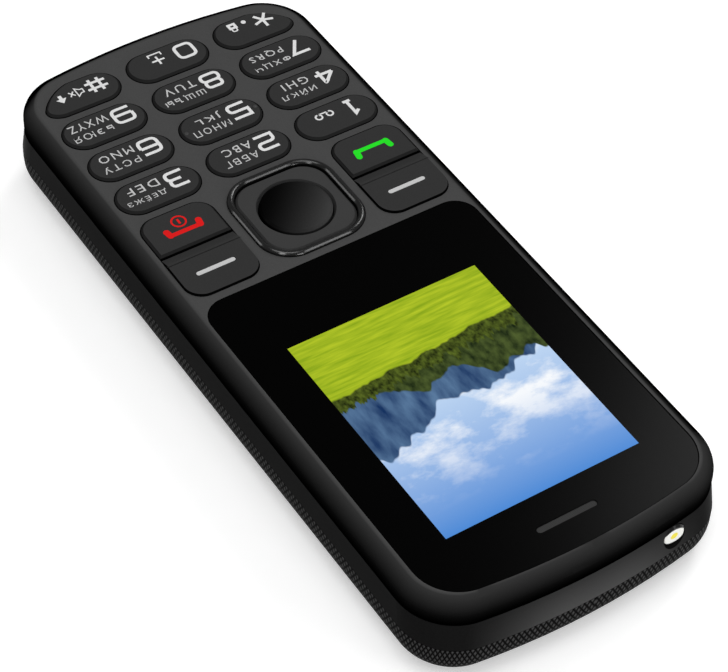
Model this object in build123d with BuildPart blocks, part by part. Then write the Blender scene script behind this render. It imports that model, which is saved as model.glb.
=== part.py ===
from build123d import *
import math
import os

os.makedirs("parts", exist_ok=True)

# A candy-bar feature phone that lies on its back. +Z points out of the front, +Y towards the
# earpiece end and +X to the user's right. The origin is under the middle of the back.
# Sizes are in millimetres.

# Body
body_width = 44.5
body_length = 109.0
cover_height = 6.5
band_height = 4.0
front_height = 3.8
end_radius = 105.0
corner_radius = 7.8
front_side_step = 0.15  # the front is narrower than the foot of the band
front_end_step = 0.8  # and shorter, so the ends of the band lean outwards
front_edge_radius = 2.0
cover_edge_radius = 5.0
seam_gap = 0.12
overrun = 1.0  # how far a cut runs past the face that it opens

# Walls
cover_wall = 1.2
chassis_gap = 0.2
chassis_wall = 1.1
band_wall = 1.4
front_wall = 1.3
plate_thickness = 1.3
floor_thickness = 1.0

# Window and display
window_side_margin = 2.15
window_top_margin = 1.9
window_thickness = 1.1
window_recess = 0.1
window_gap = 0.12
window_top_corner = 6.0
window_bottom_corner = 3.2
display_side_margin = 5.935  # these three leave a panel of 28.03 by 35.04
display_top_margin = 8.98
display_bottom_margin = 11.4
display_view_margin = 0.7
lcd_side_border = 2.7
lcd_top_border = 1.2
lcd_bottom_border = 5.0
lcd_thickness = 2.2
lcd_panel_recess = 0.2
gasket_thickness = 0.3
gasket_width = 1.4
gasket_end_width = 0.5

# Earpiece
earpiece_drop = 4.35  # slot below the window's top edge
earpiece_slot_length = 8.7
earpiece_slot_width = 0.95
earpiece_mesh_margin = 0.9
earpiece_mesh_thickness = 0.2
earpiece_speaker_length = 15.0
earpiece_speaker_width = 6.0
earpiece_speaker_height = 2.4

# Keys
key_gap = 0.15
key_rise = 0.35
key_lip = 0.3
key_lip_thickness = 0.7
key_lip_gap = 0.1
key_edge_chamfer = 0.3
key_travel = 0.3
key_clearance = 0.1  # left at the end of a key's travel
keypad_side_margin = 2.37
keypad_bottom_margin = 4.42
keypad_top_gap = 1.17
key_column_gap = 1.73
key_row_gap = 1.33
key_height = 5.85
key_corner_radius = 8.0  # round end that the lower corner keys are trimmed to
key_corner_margin = 1.9
key_corner_end_margin = 3.4
key_tip_radius = 1.3
plunger_width = 3.0
plunger_depth = 1.8

# Side blocks of soft and call keys
block_height = 15.8
block_window_gap = 1.3
block_trim_gap = 1.3
block_corner_radius = 2.7
block_split_gap = 0.3
soft_key_share = 0.545  # part of a block that its soft key takes
soft_step_width = 1.3
soft_step_depth = 0.45

# Navigation cluster
trim_width = 15.6
trim_corner_radius = 4.75
trim_rim_width = 0.95
trim_rise = 0.55
trim_seat_depth = 0.7
trim_fit_gap = 0.05
trim_bevel_share = 0.3
ring_tilt_gap = 0.3
ring_lip = 0.6
ring_lip_thickness = 0.5
ring_rise = 0.15
ring_edge_chamfer = 0.3
ring_bevel_width = 0.6
ring_bevel_depth = 0.3
select_radius = 4.8
select_rise = 0.4
select_edge_chamfer = 0.3
select_lip = 0.5
pad_thickness = 0.5
pad_plunger_size = 1.2
pad_plunger_inset = 0.45

# Keypad electronics
film_thickness = 0.1
dome_height = 0.25
dome_foot_radius = 2.1
dome_top_radius = 1.2
pad_dome_foot_radius = 1.7
pad_dome_top_radius = 0.9
dome_sides = 8
membrane_thickness = 0.6
membrane_rib_width = 0.8
membrane_hole_gap = 0.4
membrane_window_gap = 0.4

# Circuit board
board_thickness = 0.8
board_standoff = 0.4
board_edge_gap = 1.2
board_boss_gap = 0.3

# Battery and its bay
battery_side_margin = 5.25
battery_thickness = 5.7
battery_edge_radius = 1.2
battery_gap = 0.3
bay_gap = 0.3
bay_wall = 1.2
lower_deck_length = 17.0
upper_deck_length = 38.4
deck_wall = 1.2
chassis_back_gap = 0.25
chassis_edge_share = 0.7  # edge chamfer, as a part of the cover's inner rounding

# Battery contacts
contact_block_width = 8.4
contact_block_depth = 2.4
contact_block_height = 4.3
contact_blade_width = 1.2
contact_blade_height = 1.6
contact_pitch = 2.6
contact_gap = 0.1
contact_notch_gap = 0.3

# Card sockets under the battery
sim_width = 15.6
sim_length = 19.0
sim_side_offset = 8.5
sim_drop = 12.0  # middle of the sockets below the bay's upper end
memory_width = 13.4
memory_length = 15.0
memory_drop = 31.5
socket_height = 1.4
socket_gap = 0.3
socket_sheet = 0.3
card_slot_height = 0.8
socket_window_share = 0.6

# Bottom end connectors
tongue_half_width = 17.0
tongue_height = 1.5
tongue_gap = 0.12
connector_height = 7.5
port_width = 7.7
port_height = 2.6
port_depth = 5.5
port_recess = 0.6
port_sheet = 0.3
port_gap = 0.25
port_corner_radius = 0.8
port_tongue_height = 0.7
port_tongue_margin = 1.6
jack_screw_gap = 0.2
jack_bore_radius = 1.8
jack_nose_radius = 2.3
jack_nose_gap = 0.1
jack_wall_gap = 0.4
jack_recess = 0.5
jack_width = 6.0
jack_height = 4.4
jack_length = 11.4
jack_end_wall = 0.8
jack_rest_width = 5.0
microphone_screw_gap = 0.6
microphone_radius = 1.6
microphone_height = 1.3
microphone_hole_radius = 0.5
microphone_setback = 5.0

# Torch
torch_offset = 12.2
torch_drop = 5.6  # below the front face
torch_radius = 1.65
torch_gap = 0.08
torch_edge_chamfer = 0.25
torch_length = 2.6
torch_recess = 0.05
torch_led_width = 3.0
torch_led_depth = 1.5
torch_led_height = 1.5
torch_led_gap = 0.4

# Upper deck pieces
speaker_offset = 9.0
speaker_drop = 16.5  # below the end of the body
speaker_radius = 7.5
speaker_height = 3.8
magnet_share = 0.7
speaker_mesh_radius = 6.8
speaker_mesh_thickness = 0.2
speaker_slot_length = 8.0
speaker_slot_width = 1.1
speaker_slot_pitch = 2.4
speaker_slot_count = 3
camera_offset = 9.5
camera_drop = 16.5
camera_size = 8.0
camera_barrel_radius = 2.9
camera_barrel_gap = 0.2
camera_lens_radius = 3.7
camera_lens_height = 1.0
camera_lens_edge_chamfer = 0.3
camera_hole_gap = 0.35
motor_offset = 10.0
motor_radius = 4.5
motor_height = 2.7
shield_width = 13.0
shield_length = 13.0
shield_height = 1.6
shield_sheet = 0.25
shield_offset = 5.0
shield_rise = 9.4  # above the bay's upper end
antenna_width = 20.0
antenna_depth = 3.7
antenna_height = 3.6
antenna_wall = 0.5
antenna_drop = 6.6

# Housing screws
boss_radius = 1.6
end_boss_radius = 1.25
pilot_radius = 0.65
boss_floor_gap = 0.1
screw_radius = 0.6
screw_hole_radius = 0.75
screw_head_radius = 1.15
screw_head_height = 0.8
screw_well_radius = 1.35
screw_well_wall = 0.6
screw_seat_thickness = 2.5
screw_length = 5.4
screw_drive_radius = 0.5
screw_drive_sides = 6
screw_drive_depth = 0.4
top_screw_inset = 4.9
top_screw_drop = 6.6  # below the bowed end at the screw
middle_screw_inset = 3.65
middle_screw_rise = 3.7  # above the bay's upper end
bottom_screw_drop = 3.8

# Levels above the back
front_z = cover_height + band_height
body_height = front_z + front_height
chassis_z = cover_wall + chassis_back_gap
battery_z = cover_wall + battery_gap
bay_ceiling_z = battery_z + battery_thickness + bay_gap
floor_z = bay_ceiling_z + floor_thickness
board_z = floor_z + board_standoff
board_top_z = board_z + board_thickness
lcd_top_z = board_top_z + lcd_thickness
ledge_z = lcd_top_z + gasket_thickness
window_top_z = body_height - window_recess
window_z = window_top_z - window_thickness
plate_z = body_height - plate_thickness
key_top_z = body_height + key_rise
key_lip_top_z = plate_z - key_lip_gap
key_lip_z = key_lip_top_z - key_lip_thickness
membrane_top_z = key_lip_z - key_travel - key_clearance
membrane_z = membrane_top_z - membrane_thickness
film_top_z = board_top_z + film_thickness
dome_top_z = film_top_z + dome_height
plunger_z = dome_top_z + key_travel + key_clearance
ring_lip_top_z = plate_z - ring_tilt_gap - key_lip_gap
ring_z = ring_lip_top_z - ring_lip_thickness
pad_top_z = ring_z - ring_tilt_gap
pad_z = pad_top_z - pad_thickness
deck_z = chassis_z + deck_wall
screw_seat_z = floor_z - screw_seat_thickness
tongue_z = cover_height - tongue_height
torch_z = body_height - torch_drop
trim_z = body_height - trim_seat_depth
ring_top_z = body_height + ring_rise
contact_z = board_z - contact_block_height
pilot_depth = screw_length - screw_seat_thickness + board_standoff


def bow_at(x, end, bow):
    """Y of a bowed end, `end` at its middle, at a distance x from the middle line."""
    return end - (bow - math.sqrt(bow**2 - x**2))


# Places in plan
half_width = body_width / 2
half_length = body_length / 2
front_half_width = half_width - front_side_step
front_half_length = half_length - front_end_step
torch_end = front_half_length + front_end_step * (front_z - torch_z) / band_height
chassis_inset = cover_wall + chassis_gap
chamber_inset = chassis_inset + chassis_wall
window_half_width = front_half_width - window_side_margin
window_top = front_half_length - window_top_margin
keypad_bottom = -front_half_length + keypad_bottom_margin
keypad_half_width = front_half_width - keypad_side_margin
key_length = (2 * keypad_half_width - 2 * key_column_gap) / 3
column_pitch = key_length + key_column_gap
row_pitch = key_height + key_row_gap
bottom_row_y = keypad_bottom + key_height / 2
keypad_top = keypad_bottom + 4 * key_height + 3 * key_row_gap
block_low = keypad_top + keypad_top_gap
block_high = block_low + block_height
block_y = block_low + block_height / 2
window_bottom = block_high + block_window_gap
block_outer = keypad_half_width + key_gap
block_inner = trim_width / 2 + block_trim_gap
block_width = block_outer - block_inner
block_x = (block_outer + block_inner) / 2
split_y = block_high - soft_key_share * block_height
display_width = 2 * (window_half_width - display_side_margin)
display_length = window_top - window_bottom - display_top_margin - display_bottom_margin
display_y = window_top - display_top_margin - display_length / 2
earpiece_y = window_top - earpiece_drop
bay_low = -half_length + lower_deck_length
bay_high = half_length - upper_deck_length
bay_y = (bay_low + bay_high) / 2
bay_length = bay_high - bay_low
battery_width = body_width - 2 * battery_side_margin
battery_length = bay_length - 2 * bay_gap
ring_width = trim_width - 2 * trim_rim_width - 2 * key_gap
ring_length = block_height - 2 * trim_rim_width - 2 * key_gap
ring_corner_radius = trim_corner_radius - trim_rim_width - key_gap
lcd_width = display_width + 2 * lcd_side_border
lcd_length = display_length + lcd_top_border + lcd_bottom_border
lcd_y = display_y + (lcd_top_border - lcd_bottom_border) / 2
mesh_length = earpiece_slot_length + 2 * earpiece_mesh_margin
mesh_width = earpiece_slot_width + 2 * earpiece_mesh_margin
bay_width = battery_width + 2 * bay_gap
wall_cut_low = -half_length + 2 * chamber_inset
wall_cut_depth = 2 * chamber_inset + overrun
well_outer_x = column_pitch / 2 + screw_well_radius + screw_well_wall  # of the screws at the keypad end
jack_offset = well_outer_x + jack_screw_gap + jack_width / 2
microphone_offset = well_outer_x + microphone_screw_gap + microphone_radius
jack_face_y = -bow_at(jack_offset, half_length, end_radius) + jack_recess
jack_outer_x = jack_offset + jack_width / 2
jack_body_low = -bow_at(jack_outer_x, half_length - chamber_inset, end_radius) + jack_wall_gap
jack_bore_length = jack_body_low + jack_length - jack_end_wall - jack_face_y
torch_face_y = bow_at(torch_offset, torch_end, end_radius) - torch_recess
membrane_inset = front_wall + membrane_window_gap
board_inset = band_wall + board_edge_gap
membrane_low = keypad_bottom
membrane_high = block_high + key_lip
outer_rib_x = front_half_width - board_inset - membrane_rib_width / 2
membrane_rib_places = [-outer_rib_x, -column_pitch / 2, column_pitch / 2, outer_rib_x]
speaker_place = (speaker_offset, half_length - speaker_drop)
speaker_slot_low = half_length - speaker_drop - speaker_slot_pitch * (speaker_slot_count - 1) / 2
speaker_slot_places = [
    (speaker_offset, speaker_slot_low + speaker_slot_pitch * index) for index in range(speaker_slot_count)
]
camera_place = (-camera_offset, half_length - camera_drop)
motor_low, motor_high = bay_high + bay_wall, camera_place[1] - camera_size / 2
motor_place = (-motor_offset, (motor_low + motor_high) / 2)
shield_place = (shield_offset, bay_high + shield_rise)
card_sockets = {
    "sim_socket_1": (-sim_side_offset, bay_high - sim_drop, sim_width, sim_length),
    "sim_socket_2": (sim_side_offset, bay_high - sim_drop, sim_width, sim_length),
    "microsd_socket": (0, bay_high - memory_drop, memory_width, memory_length),
}

number_keys = {
    "key_1": (-1, 3), "key_2": (0, 3), "key_3": (1, 3),
    "key_4": (-1, 2), "key_5": (0, 2), "key_6": (1, 2),
    "key_7": (-1, 1), "key_8": (0, 1), "key_9": (1, 1),
    "key_star": (-1, 0), "key_0": (0, 0), "key_hash": (1, 0),
}
block_keys = {
    "soft_key_left": (-1, split_y + block_split_gap / 2, block_high - key_gap),
    "soft_key_right": (1, split_y + block_split_gap / 2, block_high - key_gap),
    "call_key": (-1, block_low + key_gap, split_y - block_split_gap / 2),
    "end_key": (1, block_low + key_gap, split_y - block_split_gap / 2),
}


def number_key_place(column, row):
    """Middle of a number key, from its column and its row above the lowest one."""
    return column * column_pitch, bottom_row_y + row * row_pitch


def block_key_place(side, low, high):
    """Middle of a soft, call or end key."""
    return side * block_x, (low + high) / 2


number_places = [number_key_place(*cell) for cell in number_keys.values()]
block_places = [block_key_place(*cell) for cell in block_keys.values()]
pad_plunger_x = (ring_width - pad_plunger_size) / 2 + ring_lip - pad_plunger_inset
pad_plunger_y = (ring_length - pad_plunger_size) / 2 + ring_lip - pad_plunger_inset
pad_plunger_places = [
    (across * pad_plunger_x, block_y + along * pad_plunger_y)
    for across, along in ((1, 0), (-1, 0), (0, 1), (0, -1))
]
top_screw_x = front_half_width - top_screw_inset
side_screws = [
    (side * x, y)
    for side in (-1, 1)
    for x, y in (
        (top_screw_x, bow_at(top_screw_x, front_half_length, end_radius) - top_screw_drop),
        (front_half_width - middle_screw_inset, bay_high + middle_screw_rise),
    )
]
end_screws = [(side * column_pitch / 2, -half_length + bottom_screw_drop) for side in (-1, 1)]
screws = side_screws + end_screws


def body_outline(plane, side, end, inset=0, corner=corner_radius):
    """Plan shape of the body, with straight sides, bowed ends and round corners."""
    side, end, bow = side - inset, end - inset, end_radius - inset
    side_end = bow_at(side, end, bow)
    with BuildSketch(plane) as outline:
        with BuildLine():
            Line((side, -side_end), (side, side_end))
            ThreePointArc((side, side_end), (0, end), (-side, side_end))
            Line((-side, side_end), (-side, -side_end))
            ThreePointArc((-side, -side_end), (0, -end), (side, -side_end))
        make_face()
        fillet(outline.vertices(), corner - inset)
    return outline.sketch


def body_slice(plane, side, end, inset, low, high):
    """The stretch of the body's plan shape between two places along its length."""
    whole = body_outline(Plane.XY, side, end, inset)
    with BuildSketch(plane) as region:
        add(whole)
        with Locations((0, (low + high) / 2)):
            Rectangle(2 * side, high - low, mode=Mode.INTERSECT)
    return region.sketch


def window_outline(plane, grow=0):
    """The window's rounded shield shape, with its top edge bowed like the body's end."""
    side, top, bottom = window_half_width + grow, window_top + grow, window_bottom - grow
    shoulder = bow_at(side, top, end_radius)
    with BuildSketch(plane) as outline:
        with BuildLine():
            Line((side, bottom), (side, shoulder))
            ThreePointArc((side, shoulder), (0, top), (-side, shoulder))
            Line((-side, shoulder), (-side, bottom))
            Line((-side, bottom), (side, bottom))
        make_face()
        fillet(outline.vertices().sort_by(Axis.Y)[-2:], window_top_corner + grow)
        fillet(outline.vertices().sort_by(Axis.Y)[:2], window_bottom_corner + grow)
    return outline.sketch


def corner_outline(plane, grow=0):
    """The line, parallel to the edge of the plate, that the lower corner keys are trimmed to."""
    return body_outline(
        plane,
        front_half_width - key_corner_margin + grow,
        front_half_length - key_corner_end_margin + grow,
        corner=key_corner_radius + grow,
    )


def number_key_outline(plane, column, row, grow=0):
    """A number key's round-ended shape, trimmed if it is a lower corner key."""
    with BuildSketch(plane) as outline:
        with Locations(number_key_place(column, row)):
            SlotOverall(key_length + 2 * grow, key_height + 2 * grow)
        if column != 0 and row == 0:
            add(corner_outline(Plane.XY, grow), mode=Mode.INTERSECT)
            tip = outline.vertices().sort_by(Axis.X)[-1 if column > 0 else 0]
            fillet(tip, key_tip_radius + grow)
    return outline.sketch


def block_outline(plane, side, grow=0):
    """The opening of a side block, a rounded rectangle."""
    with BuildSketch(plane) as outline:
        with Locations((side * block_x, block_y)):
            RectangleRounded(block_width + 2 * grow, block_height + 2 * grow, block_corner_radius + grow)
    return outline.sketch


def block_key_outline(plane, side, low, high, grow=0):
    """One key of a side block, cut from the block's rounded rectangle at the split."""
    with BuildSketch(plane) as outline:
        add(block_outline(Plane.XY, side, grow - key_gap))
        low = low - grow if low < split_y - block_split_gap else low
        high = high + grow if high > split_y + block_split_gap else high
        with Locations((side * block_x, (low + high) / 2)):
            Rectangle(block_width + 2 * grow, high - low, mode=Mode.INTERSECT)
    return outline.sketch


def nav_outline(plane, width, length, corner):
    """A rounded square of the navigation cluster."""
    with BuildSketch(plane) as outline:
        with Locations((0, block_y)):
            RectangleRounded(width, length, corner)
    return outline.sketch


def box_outline(plane, places, width, length):
    """A rectangle with its middle at each place."""
    with BuildSketch(plane) as outline:
        with Locations(places):
            Rectangle(width, length)
    return outline.sketch


def disc_outline(plane, places, radius):
    """One disc at each place."""
    with BuildSketch(plane) as outline:
        with Locations(*places):
            Circle(radius)
    return outline.sketch


def end_disc(y, x, z, radius):
    """A disc that faces along the phone, on the upright plane at y."""
    with BuildSketch(Plane.XZ.offset(-y)) as outline:
        with Locations((x, z)):
            Circle(radius)
    return outline.sketch


def end_rectangle(y, x, z, width, height, corner=0):
    """A rectangle that faces along the phone, on the upright plane at y."""
    with BuildSketch(Plane.XZ.offset(-y)) as outline:
        with Locations((x, z)):
            Rectangle(width, height)
        if corner:
            fillet(outline.vertices(), corner)
    return outline.sketch


def slot_outline(plane, places, length, width):
    """One round-ended slot at each place, long across the phone."""
    with BuildSketch(plane) as outline:
        with Locations(*places):
            SlotOverall(length, width)
    return outline.sketch


def dome_feet(places, radius):
    """The eight-sided foot of one snap dome at each place."""
    with BuildSketch(Plane.XY.offset(film_top_z)) as outline:
        with Locations(*places):
            RegularPolygon(radius, dome_sides)
    return outline.sketch


def dome_taper(foot_radius, top_radius):
    """Lean of a snap dome's sides, in degrees from upright."""
    run = (foot_radius - top_radius) * math.cos(math.pi / dome_sides)
    return math.degrees(math.atan2(run, dome_height))


def write_piece(piece, name):
    """Name a finished piece and write it to its own file."""
    piece.part.label = name
    export_step(piece.part, os.path.join("parts", name + ".step"))


# Front housing: matte keypad plate, gloss shoulder, ledge under the window and screw bosses
with BuildPart() as front_housing:
    front_foot = Plane.XY.offset(front_z)
    extrude(body_outline(front_foot, front_half_width, front_half_length), amount=front_height)
    fillet(front_housing.faces().sort_by(Axis.Z)[-1].edges(), front_edge_radius)
    chamber = body_outline(front_foot, front_half_width, front_half_length, front_wall)
    extrude(chamber, amount=plate_z - front_z, mode=Mode.SUBTRACT)

    # The deck under the window is thicker than the keypad plate
    window_deck = body_slice(
        Plane.XY.offset(ledge_z),
        front_half_width,
        front_half_length,
        front_wall,
        window_bottom,
        half_length,
    )
    extrude(window_deck, amount=plate_z - ledge_z)
    window_pocket = window_outline(Plane.XY.offset(window_z), window_gap)
    extrude(window_pocket, amount=body_height - window_z + overrun, mode=Mode.SUBTRACT)
    view_opening = box_outline(
        Plane.XY.offset(ledge_z),
        (0, display_y),
        display_width + 2 * display_view_margin,
        display_length + 2 * display_view_margin,
    )
    extrude(view_opening, amount=window_z - ledge_z, mode=Mode.SUBTRACT)
    sound_slot = slot_outline(
        Plane.XY.offset(ledge_z), [(0, earpiece_y)], earpiece_slot_length, earpiece_slot_width
    )
    extrude(sound_slot, amount=window_z - ledge_z, mode=Mode.SUBTRACT)
    mesh_seat = slot_outline(Plane.XY.offset(window_z), [(0, earpiece_y)], mesh_length, mesh_width)
    extrude(mesh_seat, amount=-earpiece_mesh_thickness, mode=Mode.SUBTRACT)

    # Key openings
    for column, row in number_keys.values():
        opening = number_key_outline(Plane.XY.offset(plate_z), column, row, key_gap)
        extrude(opening, amount=plate_thickness + overrun, mode=Mode.SUBTRACT)
    for side in (-1, 1):
        opening = block_outline(Plane.XY.offset(plate_z), side)
        extrude(opening, amount=plate_thickness + overrun, mode=Mode.SUBTRACT)
    nav_opening = nav_outline(
        Plane.XY.offset(plate_z),
        ring_width + 2 * key_gap,
        ring_length + 2 * key_gap,
        ring_corner_radius + key_gap,
    )
    extrude(nav_opening, amount=plate_thickness, mode=Mode.SUBTRACT)
    trim_seat = nav_outline(
        Plane.XY.offset(trim_z),
        trim_width + 2 * trim_fit_gap,
        block_height + 2 * trim_fit_gap,
        trim_corner_radius + trim_fit_gap,
    )
    extrude(trim_seat, amount=trim_seat_depth + overrun, mode=Mode.SUBTRACT)

    # Screw bosses that reach down to the rear housing's floor
    boss_foot = Plane.XY.offset(floor_z + boss_floor_gap)
    extrude(disc_outline(boss_foot, side_screws, boss_radius), amount=ledge_z - floor_z)
    extrude(disc_outline(boss_foot, end_screws, end_boss_radius), amount=plate_z - floor_z)
    extrude(disc_outline(boss_foot, screws, pilot_radius), amount=pilot_depth, mode=Mode.SUBTRACT)
write_piece(front_housing, "front_housing")

# Display window with its earpiece slot
with BuildPart() as display_window:
    extrude(window_outline(Plane.XY.offset(window_z)), amount=window_thickness)
    sound_slot = slot_outline(
        Plane.XY.offset(window_z), [(0, earpiece_y)], earpiece_slot_length, earpiece_slot_width
    )
    extrude(sound_slot, amount=window_thickness, mode=Mode.SUBTRACT)
write_piece(display_window, "display_window")

# Mesh between the window's slot and the slot in the ledge
with BuildPart() as earpiece_mesh:
    mesh_shape = slot_outline(
        Plane.XY.offset(window_z),
        [(0, earpiece_y)],
        mesh_length - 2 * window_gap,
        mesh_width - 2 * window_gap,
    )
    extrude(mesh_shape, amount=-earpiece_mesh_thickness)
write_piece(earpiece_mesh, "earpiece_mesh")

# Earpiece speaker, against the underside of the ledge
with BuildPart() as earpiece_speaker:
    speaker_shape = box_outline(
        Plane.XY.offset(ledge_z), (0, earpiece_y), earpiece_speaker_length, earpiece_speaker_width
    )
    extrude(speaker_shape, amount=-earpiece_speaker_height)
    fillet(earpiece_speaker.edges().filter_by(Axis.Z), earpiece_speaker_width / 4)
write_piece(earpiece_speaker, "earpiece_speaker")

# Rear housing: the band, the chassis round the battery, the floor and the two decks
with BuildPart() as rear_housing:
    chassis_shape = body_outline(Plane.XY.offset(chassis_z), half_width, half_length, chassis_inset)
    extrude(chassis_shape, amount=floor_z - chassis_z)
    chassis_chamfer = chassis_edge_share * (cover_edge_radius - cover_wall)
    chamfer(rear_housing.faces().sort_by(Axis.Z)[0].edges(), chassis_chamfer)
    band_sections = [
        body_outline(Plane.XY.offset(cover_height), half_width, half_length),
        body_outline(Plane.XY.offset(front_z - seam_gap), front_half_width, front_half_length),
    ]
    loft(sections=band_sections, ruled=True)
    board_space = body_outline(Plane.XY.offset(floor_z), front_half_width, front_half_length, band_wall)
    extrude(board_space, amount=front_z - floor_z, mode=Mode.SUBTRACT)

    # Tongue at the bottom end, round the connectors
    tongue_plane = Plane.XY.offset(tongue_z)
    body_end = body_slice(tongue_plane, half_width, half_length, 0, -half_length, wall_cut_low)
    tongue_limit = box_outline(
        tongue_plane, (0, -half_length), 2 * tongue_half_width, 2 * chamber_inset
    )
    extrude(body_end & tongue_limit, amount=tongue_height)

    # Battery bay and the chambers of the upper and the lower deck
    bay = box_outline(Plane.XY, (0, bay_y), bay_width, bay_length)
    extrude(bay, amount=bay_ceiling_z, mode=Mode.SUBTRACT)
    for low, high in ((bay_high + bay_wall, half_length), (-half_length, bay_low - bay_wall)):
        chamber = body_slice(Plane.XY.offset(deck_z), half_width, half_length, chamber_inset, low, high)
        well_columns = disc_outline(Plane.XY.offset(deck_z), screws, screw_well_radius + screw_well_wall)
        extrude(chamber - well_columns, amount=floor_z - deck_z, mode=Mode.SUBTRACT)

    # Screw wells, open to the back, with their seats under the floor
    extrude(disc_outline(Plane.XY, screws, screw_well_radius), amount=screw_seat_z, mode=Mode.SUBTRACT)
    extrude(disc_outline(Plane.XY, screws, screw_hole_radius), amount=floor_z + overrun, mode=Mode.SUBTRACT)

    # Openings in the bay's ceiling for the card sockets, and the notch for the battery contacts
    for x, y, width, length in card_sockets.values():
        socket_opening = box_outline(
            Plane.XY.offset(bay_ceiling_z), (x, y), width + 2 * socket_gap, length + 2 * socket_gap
        )
        extrude(socket_opening, amount=floor_thickness, mode=Mode.SUBTRACT)
    contact_notch = box_outline(
        Plane.XY.offset(contact_z - contact_notch_gap),
        (0, bay_high + bay_wall / 2),
        contact_block_width + 2 * contact_notch_gap,
        2 * bay_wall,
    )
    extrude(contact_notch, amount=contact_block_height + contact_notch_gap, mode=Mode.SUBTRACT)

    # Rest under the audio jack
    jack_rest_place = (jack_offset, jack_body_low + jack_length / 2)
    jack_rest = box_outline(Plane.XY.offset(deck_z), jack_rest_place, jack_rest_width, jack_length)
    extrude(jack_rest, amount=connector_height - jack_height / 2 - deck_z)

    # Openings in the end walls
    port_opening = end_rectangle(
        wall_cut_low,
        0,
        connector_height,
        port_width + 2 * port_gap,
        port_height + 2 * port_gap,
        port_corner_radius + port_gap,
    )
    extrude(port_opening, amount=wall_cut_depth, mode=Mode.SUBTRACT)
    jack_opening = end_disc(wall_cut_low, jack_offset, connector_height, jack_nose_radius + jack_nose_gap)
    extrude(jack_opening, amount=wall_cut_depth, mode=Mode.SUBTRACT)
    microphone_hole = end_disc(wall_cut_low, -microphone_offset, connector_height, microphone_hole_radius)
    extrude(microphone_hole, amount=wall_cut_depth, mode=Mode.SUBTRACT)
    torch_hole = end_disc(-wall_cut_low, -torch_offset, torch_z, torch_radius + torch_gap)
    extrude(torch_hole, amount=-wall_cut_depth, mode=Mode.SUBTRACT)

    # Loudspeaker slots and the camera's hole in the upper deck
    speaker_slots = slot_outline(Plane.XY, speaker_slot_places, speaker_slot_length, speaker_slot_width)
    extrude(speaker_slots, amount=deck_z, mode=Mode.SUBTRACT)
    camera_hole = disc_outline(Plane.XY, [camera_place], camera_barrel_radius + camera_barrel_gap)
    extrude(camera_hole, amount=deck_z, mode=Mode.SUBTRACT)
write_piece(rear_housing, "rear_housing")

# Back cover: a thin shell that snaps over the chassis. Its hollow comes first
with BuildPart() as cover_hollow:
    hollow_shape = body_outline(Plane.XY.offset(cover_wall), half_width, half_length, cover_wall)
    extrude(hollow_shape, amount=cover_height)
    fillet(cover_hollow.faces().sort_by(Axis.Z)[0].edges(), cover_edge_radius - cover_wall)

with BuildPart() as back_cover:
    extrude(body_outline(Plane.XY, half_width, half_length), amount=cover_height - seam_gap)
    fillet(back_cover.faces().sort_by(Axis.Z)[0].edges(), cover_edge_radius)
    add(cover_hollow.part, mode=Mode.SUBTRACT)

    # Cut-out in the rim for the tongue
    tongue_opening = end_rectangle(
        wall_cut_low,
        0,
        cover_height,
        2 * (tongue_half_width + tongue_gap),
        2 * (tongue_height + tongue_gap),
    )
    extrude(tongue_opening, amount=wall_cut_depth, mode=Mode.SUBTRACT)
    extrude(
        slot_outline(Plane.XY, speaker_slot_places, speaker_slot_length, speaker_slot_width),
        amount=cover_wall,
        mode=Mode.SUBTRACT,
    )
    camera_window = disc_outline(Plane.XY, [camera_place], camera_lens_radius + camera_hole_gap)
    extrude(camera_window, amount=cover_wall, mode=Mode.SUBTRACT)
write_piece(back_cover, "back_cover")

# Torch lens in the upper end wall, with its lamp behind it on the board
with BuildPart() as torch_lens:
    extrude(end_disc(torch_face_y, -torch_offset, torch_z, torch_radius), amount=torch_length)
    chamfer(torch_lens.edges().sort_by(Axis.Y)[-1], torch_edge_chamfer)
write_piece(torch_lens, "torch_lens")

with BuildPart() as torch_led:
    lamp_place = (-torch_offset, torch_face_y - torch_length - torch_led_gap - torch_led_depth / 2)
    lamp_shape = box_outline(Plane.XY.offset(board_z), lamp_place, torch_led_width, torch_led_depth)
    extrude(lamp_shape, amount=-torch_led_height)
    chamfer(torch_led.faces().sort_by(Axis.Y)[-1].edges().filter_by(Axis.Z), torch_led_depth / 4)
write_piece(torch_led, "torch_led")

# Raised trim round the navigation cluster
with BuildPart() as nav_trim:
    rim = nav_outline(Plane.XY.offset(trim_z), trim_width, block_height, trim_corner_radius)
    extrude(rim, amount=trim_seat_depth + trim_rise)
    chamfer(nav_trim.faces().sort_by(Axis.Z)[-1].edges(), trim_rim_width * trim_bevel_share)
    bore = nav_outline(
        Plane.XY.offset(trim_z),
        ring_width + 2 * key_gap,
        ring_length + 2 * key_gap,
        ring_corner_radius + key_gap,
    )
    extrude(bore, amount=trim_seat_depth + trim_rise, mode=Mode.SUBTRACT)
    chamfer(nav_trim.faces().sort_by(Axis.Z)[-1].inner_wires().edges(), trim_rim_width * trim_bevel_share)
write_piece(nav_trim, "nav_trim")

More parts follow.
